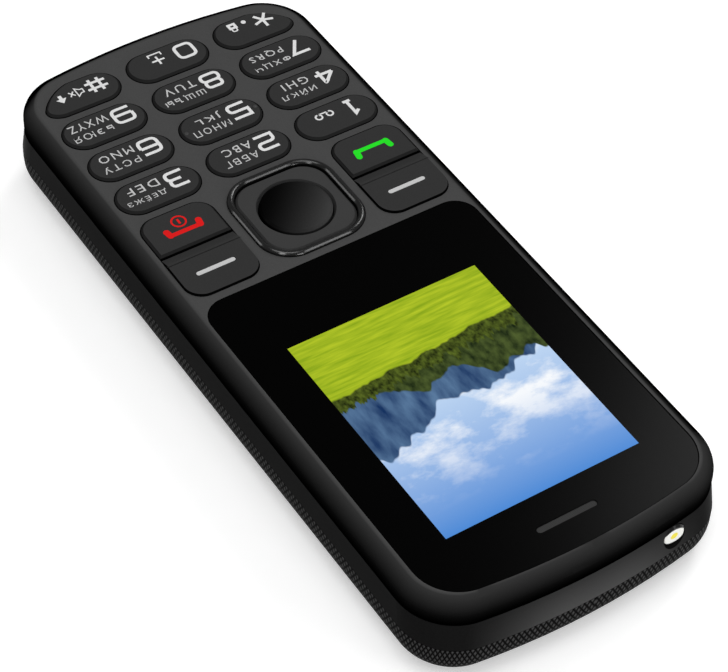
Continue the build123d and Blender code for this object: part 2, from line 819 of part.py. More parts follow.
# Navigation ring, a four-way rocker with a lip under the plate and a bore for the select key
with BuildPart() as nav_ring:
    lip = nav_outline(
        Plane.XY.offset(ring_z),
        ring_width + 2 * ring_lip,
        ring_length + 2 * ring_lip,
        ring_corner_radius + ring_lip,
    )
    extrude(lip, amount=ring_lip_thickness)
    face = nav_outline(Plane.XY.offset(ring_z), ring_width, ring_length, ring_corner_radius)
    extrude(face, amount=ring_top_z - ring_z)
    chamfer(nav_ring.faces().sort_by(Axis.Z)[-1].edges(), ring_edge_chamfer)
    select_bore = disc_outline(Plane.XY.offset(ring_z), [(0, block_y)], select_radius + key_gap)
    extrude(select_bore, amount=ring_top_z - ring_z, mode=Mode.SUBTRACT)
    chamfer(
        nav_ring.faces().sort_by(Axis.Z)[-1].inner_wires().edges(), ring_bevel_depth, ring_bevel_width
    )
write_piece(nav_ring, "nav_ring")

# Rubber pad under the ring, with a plunger under each of its four sides
with BuildPart() as nav_rubber_pad:
    pad_shape = nav_outline(
        Plane.XY.offset(pad_z),
        ring_width + 2 * ring_lip,
        ring_length + 2 * ring_lip,
        ring_corner_radius + ring_lip,
    )
    extrude(pad_shape, amount=pad_thickness)
    pad_hole_radius = select_radius + select_lip + ring_tilt_gap
    select_hole = disc_outline(Plane.XY.offset(pad_z), [(0, block_y)], pad_hole_radius)
    extrude(select_hole, amount=pad_thickness, mode=Mode.SUBTRACT)
    plungers = box_outline(
        Plane.XY.offset(plunger_z), pad_plunger_places, pad_plunger_size, pad_plunger_size
    )
    extrude(plungers, amount=pad_z - plunger_z)
write_piece(nav_rubber_pad, "nav_rubber_pad")

# Select key, a round cap with a lip under the ring and one plunger
with BuildPart() as select_key:
    centre = [(0, block_y)]
    cap = disc_outline(Plane.XY.offset(pad_z), centre, select_radius)
    extrude(cap, amount=body_height + select_rise - pad_z)
    chamfer(select_key.edges().sort_by(Axis.Z)[-1], select_edge_chamfer)
    extrude(disc_outline(Plane.XY.offset(pad_z), centre, select_radius + select_lip), amount=pad_thickness)
    plunger = box_outline(Plane.XY.offset(plunger_z), centre, plunger_width, plunger_depth)
    extrude(plunger, amount=pad_z - plunger_z)
write_piece(select_key, "select_key")

# Number keys: cap, lip under the plate and plunger through the membrane
for name, (column, row) in number_keys.items():
    with BuildPart() as number_key:
        place = number_key_place(column, row)
        cap = number_key_outline(Plane.XY.offset(key_lip_z), column, row)
        extrude(cap, amount=key_top_z - key_lip_z)
        chamfer(number_key.faces().sort_by(Axis.Z)[-1].edges(), key_edge_chamfer)
        lip = number_key_outline(Plane.XY.offset(key_lip_z), column, row, key_lip)
        extrude(lip, amount=key_lip_thickness)
        plunger = box_outline(Plane.XY.offset(plunger_z), place, plunger_width, plunger_depth)
        extrude(plunger, amount=key_lip_z - plunger_z)
    write_piece(number_key, name)

# Soft, call and end keys of the side blocks. A soft key steps down towards the key below it
for name, (side, low, high) in block_keys.items():
    with BuildPart() as block_key:
        cap = block_key_outline(Plane.XY.offset(key_lip_z), side, low, high)
        extrude(cap, amount=key_top_z - key_lip_z)
        if name.startswith("soft"):
            step_edge = block_key.faces().sort_by(Axis.Z)[-1].edges().sort_by(Axis.Y)[0]
            chamfer(step_edge, soft_step_depth, soft_step_width)
        else:
            chamfer(block_key.faces().sort_by(Axis.Z)[-1].edges(), key_edge_chamfer)
        lip = block_key_outline(Plane.XY.offset(key_lip_z), side, low, high, key_lip)
        extrude(lip, amount=key_lip_thickness)
        place = block_key_place(side, low, high)
        plunger = box_outline(Plane.XY.offset(plunger_z), place, plunger_width, plunger_depth)
        extrude(plunger, amount=key_lip_z - plunger_z)
    write_piece(block_key, name)

# Silicone membrane under the keys, on ribs that stand on the dome sheet between the columns
with BuildPart() as keypad_membrane:
    sheet = body_slice(
        Plane.XY.offset(membrane_z),
        front_half_width,
        front_half_length,
        membrane_inset,
        membrane_low,
        membrane_high,
    )
    extrude(sheet, amount=membrane_thickness)
    for x in membrane_rib_places:
        rib = box_outline(
            Plane.XY.offset(film_top_z),
            (x, (membrane_low + keypad_top) / 2),
            membrane_rib_width,
            keypad_top - membrane_low - 2 * membrane_rib_width,
        )
        extrude(rib, amount=membrane_z - film_top_z)
    plunger_holes = box_outline(
        Plane.XY.offset(membrane_z),
        number_places + block_places,
        plunger_width + 2 * membrane_hole_gap,
        plunger_depth + 2 * membrane_hole_gap,
    )
    extrude(plunger_holes, amount=membrane_thickness, mode=Mode.SUBTRACT)
    nav_hole = nav_outline(
        Plane.XY.offset(membrane_z),
        ring_width + 2 * ring_lip + 2 * membrane_hole_gap,
        ring_length + 2 * ring_lip + 2 * membrane_hole_gap,
        ring_corner_radius + ring_lip + membrane_hole_gap,
    )
    extrude(nav_hole, amount=membrane_thickness, mode=Mode.SUBTRACT)
write_piece(keypad_membrane, "keypad_membrane")

# Dome sheet on the board, one snap dome under each plunger
with BuildPart() as dome_sheet:
    film = body_slice(
        Plane.XY.offset(board_top_z),
        front_half_width,
        front_half_length,
        board_inset,
        membrane_low,
        membrane_high,
    )
    extrude(film, amount=film_thickness)
    key_domes = dome_feet(number_places + block_places + [(0, block_y)], dome_foot_radius)
    extrude(key_domes, amount=dome_height, taper=dome_taper(dome_foot_radius, dome_top_radius))
    pad_domes = dome_feet(pad_plunger_places, pad_dome_foot_radius)
    extrude(pad_domes, amount=dome_height, taper=dome_taper(pad_dome_foot_radius, pad_dome_top_radius))
write_piece(dome_sheet, "dome_sheet")

# Circuit board, with holes round the screw bosses and a cut-out for the audio jack
with BuildPart() as circuit_board:
    board_shape = body_outline(Plane.XY.offset(board_z), front_half_width, front_half_length, board_inset)
    extrude(board_shape, amount=board_thickness)
    extrude(
        disc_outline(Plane.XY.offset(board_z), screws, boss_radius + board_boss_gap),
        amount=board_thickness,
        mode=Mode.SUBTRACT,
    )
    jack_cut = box_outline(
        Plane.XY.offset(board_z),
        (jack_offset, jack_body_low),
        jack_width + 2 * board_boss_gap,
        2 * (jack_length + board_boss_gap),
    )
    extrude(jack_cut, amount=board_thickness, mode=Mode.SUBTRACT)
write_piece(circuit_board, "circuit_board")

# Display module on the board, with a foam gasket up to the ledge
with BuildPart() as lcd_module:
    frame_shape = box_outline(Plane.XY.offset(board_top_z), (0, lcd_y), lcd_width, lcd_length)
    extrude(frame_shape, amount=lcd_thickness)
    panel_recess = box_outline(
        Plane.XY.offset(lcd_top_z - lcd_panel_recess), (0, display_y), display_width, display_length
    )
    extrude(panel_recess, amount=lcd_panel_recess, mode=Mode.SUBTRACT)
write_piece(lcd_module, "lcd_module")

with BuildPart() as display_gasket:
    gasket_hole_width = display_width + 2 * display_view_margin
    gasket_hole_length = display_length + 2 * display_view_margin
    extrude(
        box_outline(
            Plane.XY.offset(lcd_top_z),
            (0, display_y),
            gasket_hole_width + 2 * gasket_width,
            gasket_hole_length + 2 * gasket_end_width,
        ),
        amount=gasket_thickness,
    )
    extrude(
        box_outline(Plane.XY.offset(lcd_top_z), (0, display_y), gasket_hole_width, gasket_hole_length),
        amount=gasket_thickness,
        mode=Mode.SUBTRACT,
    )
write_piece(display_gasket, "display_gasket")

# Loudspeaker and its mesh, over the slots of the upper deck
with BuildPart() as speaker_mesh:
    mesh_shape = disc_outline(Plane.XY.offset(deck_z), [speaker_place], speaker_mesh_radius)
    extrude(mesh_shape, amount=speaker_mesh_thickness)
write_piece(speaker_mesh, "speaker_mesh")

with BuildPart() as loudspeaker:
    speaker_foot = Plane.XY.offset(deck_z + speaker_mesh_thickness)
    extrude(disc_outline(speaker_foot, [speaker_place], speaker_radius), amount=speaker_height)
    magnet_radius = speaker_radius * magnet_share
    chamfer(loudspeaker.edges().sort_by(Axis.Z)[-1], (speaker_radius - magnet_radius) / 2)
write_piece(loudspeaker, "loudspeaker")

# Camera: module on the board, barrel through the deck, lens plate behind the cover's hole
with BuildPart() as camera_module:
    camera_foot_z = deck_z + camera_barrel_gap
    extrude(
        box_outline(Plane.XY.offset(camera_foot_z), camera_place, camera_size, camera_size),
        amount=board_z - camera_foot_z,
    )
    extrude(
        disc_outline(Plane.XY.offset(chassis_z), [camera_place], camera_barrel_radius),
        amount=camera_foot_z - chassis_z,
    )
write_piece(camera_module, "camera_module")

with BuildPart() as camera_lens:
    lens_shape = disc_outline(Plane.XY.offset(chassis_z), [camera_place], camera_lens_radius)
    extrude(lens_shape, amount=-camera_lens_height)
    chamfer(camera_lens.edges().sort_by(Axis.Z)[0], camera_lens_edge_chamfer)
write_piece(camera_lens, "camera_lens")

# Vibration motor, a coin in the upper deck
with BuildPart() as vibration_motor:
    extrude(disc_outline(Plane.XY.offset(deck_z), [motor_place], motor_radius), amount=motor_height)
write_piece(vibration_motor, "vibration_motor")

# Shield can on the board's back
with BuildPart() as shield_can:
    can_shape = box_outline(Plane.XY.offset(board_z), shield_place, shield_width, shield_length)
    extrude(can_shape, amount=-shield_height)
    fillet(shield_can.edges().filter_by(Axis.Z), shield_height / 4)
    inner_width, inner_length = shield_width - 2 * shield_sheet, shield_length - 2 * shield_sheet
    extrude(
        box_outline(Plane.XY.offset(board_z), shield_place, inner_width, inner_length),
        amount=-(shield_height - shield_sheet),
        mode=Mode.SUBTRACT,
    )
write_piece(shield_can, "shield_can")

# Antenna carrier, a hollow block at the earpiece end
with BuildPart() as antenna:
    antenna_place = (0, half_length - antenna_drop)
    carrier_shape = box_outline(Plane.XY.offset(board_z), antenna_place, antenna_width, antenna_depth)
    extrude(carrier_shape, amount=-antenna_height)
    hollow_width, hollow_depth = antenna_width - 2 * antenna_wall, antenna_depth - 2 * antenna_wall
    extrude(
        box_outline(Plane.XY.offset(board_z), antenna_place, hollow_width, hollow_depth),
        amount=-(antenna_height - antenna_wall),
        mode=Mode.SUBTRACT,
    )
write_piece(antenna, "antenna")

# Microphone behind its hole in the bottom end
with BuildPart() as microphone:
    microphone_place = [(-microphone_offset, -half_length + microphone_setback)]
    capsule_shape = disc_outline(Plane.XY.offset(board_z), microphone_place, microphone_radius)
    extrude(capsule_shape, amount=-microphone_height)
write_piece(microphone, "microphone")

# Charging port, a folded shell with a contact tongue, under the board
with BuildPart() as usb_port:
    port_face_y = -half_length + port_recess
    extrude(
        end_rectangle(port_face_y, 0, connector_height, port_width, port_height, port_corner_radius),
        amount=-port_depth,
    )
    extrude(
        end_rectangle(
            port_face_y,
            0,
            connector_height,
            port_width - 2 * port_sheet,
            port_height - 2 * port_sheet,
            port_corner_radius - port_sheet,
        ),
        amount=-(port_depth - port_sheet),
        mode=Mode.SUBTRACT,
    )
    contact_tongue = end_rectangle(
        port_face_y + port_recess,
        0,
        connector_height,
        port_width - 2 * port_sheet - 2 * port_tongue_margin,
        port_tongue_height,
    )
    extrude(contact_tongue, amount=-(port_depth - port_recess))
write_piece(usb_port, "usb_port")

# Audio jack: block with a round nose in the end wall and one blind bore
with BuildPart() as audio_jack:
    block_shape = end_rectangle(jack_body_low, jack_offset, connector_height, jack_width, jack_height)
    extrude(block_shape, amount=-jack_length)
    nose_shape = end_disc(jack_face_y, jack_offset, connector_height, jack_nose_radius)
    extrude(nose_shape, amount=jack_face_y - jack_body_low)
    extrude(
        end_disc(jack_face_y, jack_offset, connector_height, jack_bore_radius),
        amount=-jack_bore_length,
        mode=Mode.SUBTRACT,
    )
write_piece(audio_jack, "audio_jack")

# Battery pack
with BuildPart() as battery:
    extrude(
        box_outline(Plane.XY.offset(battery_z), (0, bay_y), battery_width, battery_length),
        amount=battery_thickness,
    )
    fillet(battery.edges().filter_by(Axis.Y), battery_edge_radius)
write_piece(battery, "battery")

# Battery contacts: block on the board with three sprung blades
with BuildPart() as battery_contacts:
    block_face_y = bay_high + contact_gap
    extrude(
        box_outline(
            Plane.XY.offset(contact_z),
            (0, block_face_y + contact_block_depth / 2),
            contact_block_width,
            contact_block_depth,
        ),
        amount=contact_block_height,
    )
    blade_depth = block_face_y - (bay_high - bay_gap) - contact_gap
    for place in (-1, 0, 1):
        blade = end_rectangle(
            block_face_y,
            place * contact_pitch,
            contact_z + contact_blade_height,
            contact_blade_width,
            contact_blade_height,
        )
        extrude(blade, amount=blade_depth)
write_piece(battery_contacts, "battery_contacts")

# Card sockets: folded sheet trays on the board's back, open towards the bay
for name, (x, y, width, length) in card_sockets.items():
    with BuildPart() as socket:
        extrude(box_outline(Plane.XY.offset(board_z), (x, y), width, length), amount=-socket_height)
        card_y = y - socket_sheet
        extrude(
            box_outline(
                Plane.XY.offset(board_z - socket_sheet), (x, card_y), width - 2 * socket_sheet, length
            ),
            amount=-card_slot_height,
            mode=Mode.SUBTRACT,
        )
        extrude(
            box_outline(
                Plane.XY.offset(board_z - socket_height),
                (x, card_y),
                width * socket_window_share,
                length * socket_window_share,
            ),
            amount=socket_height - socket_sheet,
            mode=Mode.SUBTRACT,
        )
    write_piece(socket, name)

# Housing screws, in from the back
with BuildPart() as housing_screws:
    screw_seat = Plane.XY.offset(screw_seat_z)
    extrude(disc_outline(screw_seat, screws, screw_radius), amount=screw_length)
    extrude(disc_outline(screw_seat, screws, screw_head_radius), amount=-screw_head_height)
    with BuildSketch(Plane.XY.offset(screw_seat_z - screw_head_height)):
        with Locations(*screws):
            RegularPolygon(screw_drive_radius, screw_drive_sides)
    extrude(amount=screw_drive_depth, mode=Mode.SUBTRACT)
write_piece(housing_screws, "housing_screws")
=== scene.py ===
import math

import bmesh
import bpy
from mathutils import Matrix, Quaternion, Vector


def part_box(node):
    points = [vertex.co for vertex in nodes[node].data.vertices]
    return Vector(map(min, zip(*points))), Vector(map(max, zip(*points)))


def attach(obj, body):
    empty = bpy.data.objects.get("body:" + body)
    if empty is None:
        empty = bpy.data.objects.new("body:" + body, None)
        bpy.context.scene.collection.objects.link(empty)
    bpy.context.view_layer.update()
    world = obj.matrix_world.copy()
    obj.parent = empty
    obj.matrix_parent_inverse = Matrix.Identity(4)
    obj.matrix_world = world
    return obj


# The feature phone's finishes, its printed legends and a plain studio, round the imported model.
# Sizes are in millimetres, and MM turns them into the scene's metres.
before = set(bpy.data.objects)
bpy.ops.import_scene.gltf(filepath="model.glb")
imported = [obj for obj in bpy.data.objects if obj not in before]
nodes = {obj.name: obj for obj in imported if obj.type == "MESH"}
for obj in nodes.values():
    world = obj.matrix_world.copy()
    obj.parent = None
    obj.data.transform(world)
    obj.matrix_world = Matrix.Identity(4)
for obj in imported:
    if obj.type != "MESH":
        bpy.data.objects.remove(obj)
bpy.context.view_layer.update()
MM = 0.001


def box_mm(node):
    """Lowest and highest corner of a node, in millimetres."""
    low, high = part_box(node)
    return low / MM, high / MM


def middle_mm(node):
    """Middle of a node's box, in millimetres."""
    low, high = box_mm(node)
    return (low + high) / 2


# Colours and nodes
def linear(code):
    """Linear colour of an sRGB hex value."""
    parts = [int(code[place:place + 2], 16) / 255 for place in (1, 3, 5)]
    return [part / 12.92 if part <= 0.04045 else ((part + 0.055) / 1.055) ** 2.4 for part in parts] + [1.0]


def add_node(tree, kind, inputs=None, **settings):
    """Add one node. An input is a value, a hex colour or another node's output."""
    node = tree.nodes.new("ShaderNode" + kind)
    for name, value in settings.items():
        setattr(node, name, value)
    for name, value in (inputs or {}).items():
        if isinstance(value, bpy.types.NodeSocket):
            tree.links.new(value, node.inputs[name])
        elif isinstance(value, str):
            node.inputs[name].default_value = linear(value)
        else:
            node.inputs[name].default_value = value
    return node


def new_material(name, colour, roughness, **sockets):
    """A material with one Principled shader. Returns its tree and shader too."""
    material = bpy.data.materials.new(name)
    material.use_nodes = True
    tree = material.node_tree
    shader = tree.nodes["Principled BSDF"]
    shader.inputs["Base Color"].default_value = linear(colour)
    shader.inputs["Roughness"].default_value = roughness
    for socket, value in sockets.items():
        shader.inputs[socket.replace("_", " ")].default_value = value
    return material, tree, shader


def axes(tree, coordinate):
    """X, Y and Z of a texture coordinate: Object for the place on the piece, in metres, or Normal for
    the way that its surface faces."""
    vector = add_node(tree, "TexCoord").outputs[coordinate]
    return add_node(tree, "SeparateXYZ", {0: vector}).outputs


# Part of the noise's range that runs from a grain's dark tone to its light one
grain_low, grain_high = 0.25, 0.75


def add_grain(tree, shader, size, depth, light, dark, normal=None):
    """Fine noise of a real size in mm: bump of a depth in mm, over a normal if one is given, and a base
    colour between two tones. Returns the colour."""
    place = add_node(tree, "TexCoord").outputs["Object"]
    noise = add_node(tree, "TexNoise", {"Vector": place, "Scale": 1 / (size * MM), "Detail": 2.0})
    height = noise.outputs["Fac"]
    tone = add_node(tree, "MapRange", {"Value": height, "From Min": grain_low,
                                       "From Max": grain_high}).outputs[0]
    colour = add_node(tree, "Mix", {0: tone, 6: dark, 7: light}, data_type="RGBA").outputs[2]
    bump = add_node(tree, "Bump", {"Height": height, "Distance": depth * MM, "Strength": 1.0})
    if normal:
        tree.links.new(normal, bump.inputs["Normal"])
    tree.links.new(bump.outputs["Normal"], shader.inputs["Normal"])
    tree.links.new(colour, shader.inputs["Base Color"])
    return colour


def grained_finish(name, colour, light, dark, roughness, grain, depth, **sockets):
    """A finish with nothing but its grain."""
    material, tree, shader = new_material(name, colour, roughness, **sockets)
    add_grain(tree, shader, grain, depth, light, dark)
    return material


# Levels that the painted shade and highlight follow: the keypad plate's top, the lower end of the front
# housing's rounded edge, the seam to the band and the band's foot
front_height, edge_height, band_height = 3.8, 2.0, 4.0
plate_level = box_mm("front_housing")[1].z
edge_level = plate_level - edge_height
seam_level = plate_level - front_height
band_foot_level = seam_level - band_height


# Moulded ABS with spark-eroded grain: the flat keypad plate is matte grey, and the shoulder carries
# painted shade that runs evenly from dark grey at the plate to black at the seam. Round the keypad end
# and down the left side the painted shade is black right up to the plate, as a dark rim
def grained_abs():
    edge_shade_share = 0.24
    shade_fade_power = 1.5
    shade_weight_across, shade_weight_along = 0.35, 0.94
    shade_rim_end = -0.18
    flat_start = 0.965
    material, tree, shader = new_material("spark_eroded_abs", "#484848", 0.5, IOR=1.54,
                                          Specular_IOR_Level=0.0)
    plate = add_grain(tree, shader, 0.16, 0.003, "#4b4b4b", "#454545")
    place, facing = axes(tree, "Object"), axes(tree, "Normal")

    # Painted shade of the shoulder by how far it leans over, and down its upright side by height
    slope = add_node(tree, "Math", {0: facing["Z"]}, operation="ARCSINE").outputs[0]
    lean_shade = add_node(tree, "MapRange", {"Value": slope, "From Max": math.pi / 2,
                                          "To Min": edge_shade_share}).outputs[0]
    upright_shade = add_node(tree, "MapRange", {"Value": place["Z"], "From Min": seam_level * MM,
                                          "From Max": edge_level * MM,
                                          "To Min": -edge_shade_share, "To Max": 0.0}).outputs[0]
    tone = add_node(tree, "Math", {0: lean_shade, 1: upright_shade}, operation="ADD").outputs[0]
    tone = add_node(tree, "Math", {0: tone, 1: shade_fade_power}, operation="POWER").outputs[0]

    # Painted shade: what faces the keypad end or the left side goes black
    across = add_node(tree, "Math", {0: facing["X"], 1: shade_weight_across}, operation="MULTIPLY").outputs[0]
    along = add_node(tree, "Math", {0: facing["Y"], 1: shade_weight_along, 2: across},
                     operation="MULTIPLY_ADD").outputs[0]
    lit_side_share = add_node(tree, "MapRange", {"Value": along, "From Min": shade_rim_end, "From Max": 0.0}).outputs[0]
    tone = add_node(tree, "Math", {0: tone, 1: lit_side_share}, operation="MULTIPLY").outputs[0]
    shoulder_painted_shade = add_node(tree, "Mix", {0: tone, 6: "#000000", 7: "#383838"}, data_type="RGBA").outputs[2]

    flat = add_node(tree, "MapRange", {"Value": facing["Z"], "From Min": flat_start}).outputs[0]
    colour_with_painted_light = add_node(tree, "Mix", {0: flat, 6: shoulder_painted_shade, 7: plate}, data_type="RGBA").outputs[2]
    tree.links.new(colour_with_painted_light, shader.inputs["Base Color"])
    return material


# Moulded polycarbonate with a satin mould finish, as on the band and the chassis. The band is black
# along the sides, with a painted highlight that runs to grey at the middle of the top end
def satin_polycarbonate():
    end_start, end_full = 0.9, 0.96
    highlight_start, highlight_full = 19.0, 3.0
    seam_highlight_share = 0.35
    material, tree, shader = new_material("satin_moulded_polycarbonate", "#161616", 0.42, IOR=1.58,
                                          Specular_IOR_Level=0.003)
    black = add_grain(tree, shader, 0.25, 0.002, "#181818", "#141414")
    place, facing = axes(tree, "Object"), axes(tree, "Normal")
    # Painted highlight: on faces towards the top end, near its middle, brighter towards the band's foot
    end = add_node(tree, "MapRange", {"Value": facing["Y"], "From Min": end_start,
                                      "From Max": end_full}).outputs[0]
    aside = add_node(tree, "Math", {0: place["X"]}, operation="ABSOLUTE").outputs[0]
    middle = add_node(tree, "MapRange", {"Value": aside, "From Min": highlight_start * MM,
                                         "From Max": highlight_full * MM},
                      interpolation_type="SMOOTHSTEP").outputs[0]
    end = add_node(tree, "Math", {0: end, 1: middle}, operation="MULTIPLY").outputs[0]
    highlight_depth = add_node(tree, "MapRange", {"Value": place["Z"], "From Min": seam_level * MM,
                                       "From Max": band_foot_level * MM, "To Min": seam_highlight_share}).outputs[0]
    share = add_node(tree, "Math", {0: end, 1: highlight_depth}, operation="MULTIPLY").outputs[0]
    colour_with_painted_light = add_node(tree, "Mix", {0: share, 6: black, 7: "#4a4a4a"}, data_type="RGBA").outputs[2]
    tree.links.new(colour_with_painted_light, shader.inputs["Base Color"])
    return material


# Moulded polycarbonate with a diamond knurl for grip, as on the back cover. A real knurl is finer than
# the render can show, so it is drawn coarser, with a diamond every 0.8 mm along the edge and 1.4 mm
# tall, and reads as fine rows of dots, with painted shade in the grooves and a painted highlight on
# the crests. The inside is smooth
def knurled_polycarbonate():
    pitch, tall = 0.8 * MM, 1.4 * MM
    knurl_depth = 0.06 * MM
    core = (0, 0, 3.0 * MM)
    edge_end, back_start = -0.75, -0.95
    groove_shade_level, crest_highlight_level = -0.8, 0.5
    material, tree, shader = new_material("diamond_knurled_polycarbonate", "#262626", 0.5, IOR=1.58,
                                          Specular_IOR_Level=0.005)
    place, facing = axes(tree, "Object"), axes(tree, "Normal")
    across = add_node(tree, "Math", {0: place["X"]}, operation="ABSOLUTE").outputs[0]
    along = add_node(tree, "Math", {0: place["Y"]}, operation="ABSOLUTE").outputs[0]
    round_edge = add_node(tree, "Math", {0: along, 1: across}, operation="SUBTRACT").outputs[0]

    # Crossed ridges round the edge, by its run and its height, and on the flat back, by Y and X
    ridges = []
    for run, rise in ((round_edge, place["Z"]), (place["Y"], place["X"])):
        upward = add_node(tree, "Math", {0: rise, 1: 2 * math.pi / tall}, operation="MULTIPLY").outputs[0]
        waves = []
        for sign in (1, -1):
            turn = add_node(tree, "Math", {0: run, 1: sign * 2 * math.pi / pitch, 2: upward},
                            operation="MULTIPLY_ADD").outputs[0]
            waves.append(add_node(tree, "Math", {0: turn}, operation="COSINE").outputs[0])
        ridges.append(add_node(tree, "Math", {0: waves[0], 1: waves[1]}, operation="MINIMUM").outputs[0])
    back = add_node(tree, "MapRange", {"Value": facing["Z"], "From Min": edge_end,
                                       "From Max": back_start}).outputs[0]
    height = add_node(tree, "Mix", {0: back, 2: ridges[0], 3: ridges[1]}, data_type="FLOAT").outputs[0]

    # What faces the core is the cover's inside, and stays smooth
    source = add_node(tree, "TexCoord").outputs
    from_core = add_node(tree, "VectorMath", {0: source["Object"], 1: core}, operation="SUBTRACT").outputs[0]
    outward = add_node(tree, "VectorMath", {0: from_core, 1: source["Normal"]},
                       operation="DOT_PRODUCT").outputs["Value"]
    outside = add_node(tree, "Math", {0: outward, 1: 0.0}, operation="GREATER_THAN").outputs[0]
    height = add_node(tree, "Math", {0: height, 1: outside}, operation="MULTIPLY").outputs[0]
    # Painted shade and highlight: near black in the grooves, grey on the crests
    share = add_node(tree, "MapRange", {"Value": height, "From Min": groove_shade_level, "From Max": crest_highlight_level}).outputs[0]
    colour = add_node(tree, "Mix", {0: share, 6: "#060606", 7: "#444444"}, data_type="RGBA").outputs[2]
    bump = add_node(tree, "Bump", {"Height": height, "Distance": knurl_depth, "Strength": 1.0})
    tree.links.new(bump.outputs["Normal"], shader.inputs["Normal"])
    tree.links.new(colour, shader.inputs["Base Color"])
    return material


def add_landscape(tree, u, v):
    """Colour of a meadow, a wood and hills under a sky. U and V run from -1 to 1 over the display."""
    plane = add_node(tree, "CombineXYZ", {0: u, 1: v}).outputs[0]

    # Sky that pales towards the horizon, with soft clouds
    depth = add_node(tree, "MapRange", {"Value": v, "From Min": -0.2, "From Max": 1.0}).outputs[0]
    picture = add_node(tree, "Mix", {0: depth, 6: "#c4dbf5", 7: "#4d8ad6"}, data_type="RGBA").outputs[2]
    drift = add_node(tree, "Mapping", {"Vector": plane, "Scale": (0.9, 1.9, 1.0), "Rotation": (0, 0, 0.35)})
    puffs = add_node(tree, "TexNoise", {"Vector": drift.outputs[0], "Scale": 1.5, "Detail": 7.0,
                                        "Roughness": 0.58}).outputs["Fac"]
    cloud = add_node(tree, "MapRange", {"Value": puffs, "From Min": 0.46, "From Max": 0.6}).outputs[0]
    low_sky = add_node(tree, "MapRange", {"Value": v, "From Min": 0.8, "From Max": 0.2}).outputs[0]
    cover = add_node(tree, "Math", {0: cloud, 1: low_sky}, operation="MULTIPLY").outputs[0]
    picture = add_node(tree, "Mix", {0: cover, 6: picture, 7: "#f6f9fd"}, data_type="RGBA").outputs[2]

    # Far ridge, near hill, wood and meadow, each in front of the one before: height of its skyline,
    # swing and count of its bumps, slope, place along the noise, its two tones and its texture's scale
    layers = (
        (0.04, 0.30, 1.7, 0.16, 3.1, "#58789c", "#12305e", (7.0, 3.0, 1.0)),
        (-0.20, 0.16, 2.6, -0.14, 5.7, "#4d5c2c", "#16230e", (14.0, 10.0, 1.0)),
        (-0.34, 0.14, 11.0, 0.05, 9.2, "#5a6a24", "#141b08", (24.0, 18.0, 1.0)),
        (-0.47, 0.05, 3.0, 0.06, 2.4, "#b6c82a", "#86a41a", (2.5, 34.0, 1.0)),
    )
    blur = 0.008
    for skyline, swing, bumps, slope, start, light, dark, texture in layers:
        run = add_node(tree, "Math", {0: u, 1: 1.0, 2: start}, operation="MULTIPLY_ADD").outputs[0]
        noise = add_node(tree, "TexNoise", {"W": run, "Scale": bumps, "Detail": 3.0}, noise_dimensions="1D")
        ridge = add_node(tree, "Math", {0: noise.outputs["Fac"], 1: 2 * swing, 2: skyline - swing},
                         operation="MULTIPLY_ADD").outputs[0]
        ridge = add_node(tree, "Math", {0: u, 1: slope, 2: ridge}, operation="MULTIPLY_ADD").outputs[0]
        under = add_node(tree, "Math", {0: ridge, 1: v}, operation="SUBTRACT").outputs[0]
        mask = add_node(tree, "MapRange", {"Value": under, "From Min": -blur, "From Max": blur}).outputs[0]
        ground = add_node(tree, "Mapping", {"Vector": plane, "Scale": texture}).outputs[0]
        grain = add_node(tree, "TexNoise", {"Vector": ground, "Scale": 1.0, "Detail": 5.0}).outputs["Fac"]
        tone = add_node(tree, "MapRange", {"Value": grain, "From Min": 0.3, "From Max": 0.7}).outputs[0]
        colour = add_node(tree, "Mix", {0: tone, 6: dark, 7: light}, data_type="RGBA").outputs[2]
        picture = add_node(tree, "Mix", {0: mask, 6: picture, 7: colour}, data_type="RGBA").outputs[2]
    return picture


# Hard-coated acrylic sheet, printed black behind: a deep, even black, with a landscape on the lit
# display under it
def printed_acrylic():
    display_width, display_length = 28.03, 35.04
    half_width, half_length = display_width / 2, display_length / 2
    display_y = middle_mm("display_gasket").y
    material, tree, shader = new_material("hard_coated_acrylic", "#000000", 0.18, IOR=1.49,
                                          Specular_IOR_Level=0.05)
    place = axes(tree, "Object")
    u = add_node(tree, "Math", {0: place["X"], 1: 1 / (half_width * MM)}, operation="MULTIPLY").outputs[0]
    v = add_node(tree, "Math", {0: place["Y"], 1: 1 / (half_length * MM), 2: -display_y / half_length},
                 operation="MULTIPLY_ADD").outputs[0]
    picture = add_landscape(tree, u, v)
    inside = []
    for value in (u, v):
        reach = add_node(tree, "Math", {0: value}, operation="ABSOLUTE").outputs[0]
        inside.append(add_node(tree, "Math", {0: reach, 1: 1.0}, operation="LESS_THAN").outputs[0])
    lit = add_node(tree, "Math", {0: inside[0], 1: inside[1]}, operation="MULTIPLY").outputs[0]
    glow = add_node(tree, "Mix", {0: lit, 6: "#000000", 7: picture}, data_type="RGBA").outputs[2]
    tree.links.new(glow, shader.inputs["Emission Color"])
    shader.inputs["Emission Strength"].default_value = 1.0
    return material


# Moulded ABS key caps with a fine matte mould finish, with painted shade, near black, on their upright sides
def key_cap_abs():
    side_shade_end, top_start = 0.6, 0.85
    material, tree, shader = new_material("matte_key_cap_abs", "#333333", 0.5, IOR=1.54,
                                          Specular_IOR_Level=0.02)
    cap = add_grain(tree, shader, 0.14, 0.002, "#353535", "#313131")
    upward = axes(tree, "Normal")["Z"]
    # Painted shade: the upright sides go near black
    top = add_node(tree, "MapRange", {"Value": upward, "From Min": side_shade_end,
                                      "From Max": top_start}).outputs[0]
    shade = add_node(tree, "Mix", {0: top, 6: "#050505", 7: cap}, data_type="RGBA").outputs[2]
    tree.links.new(shade, shader.inputs["Base Color"])
    return material


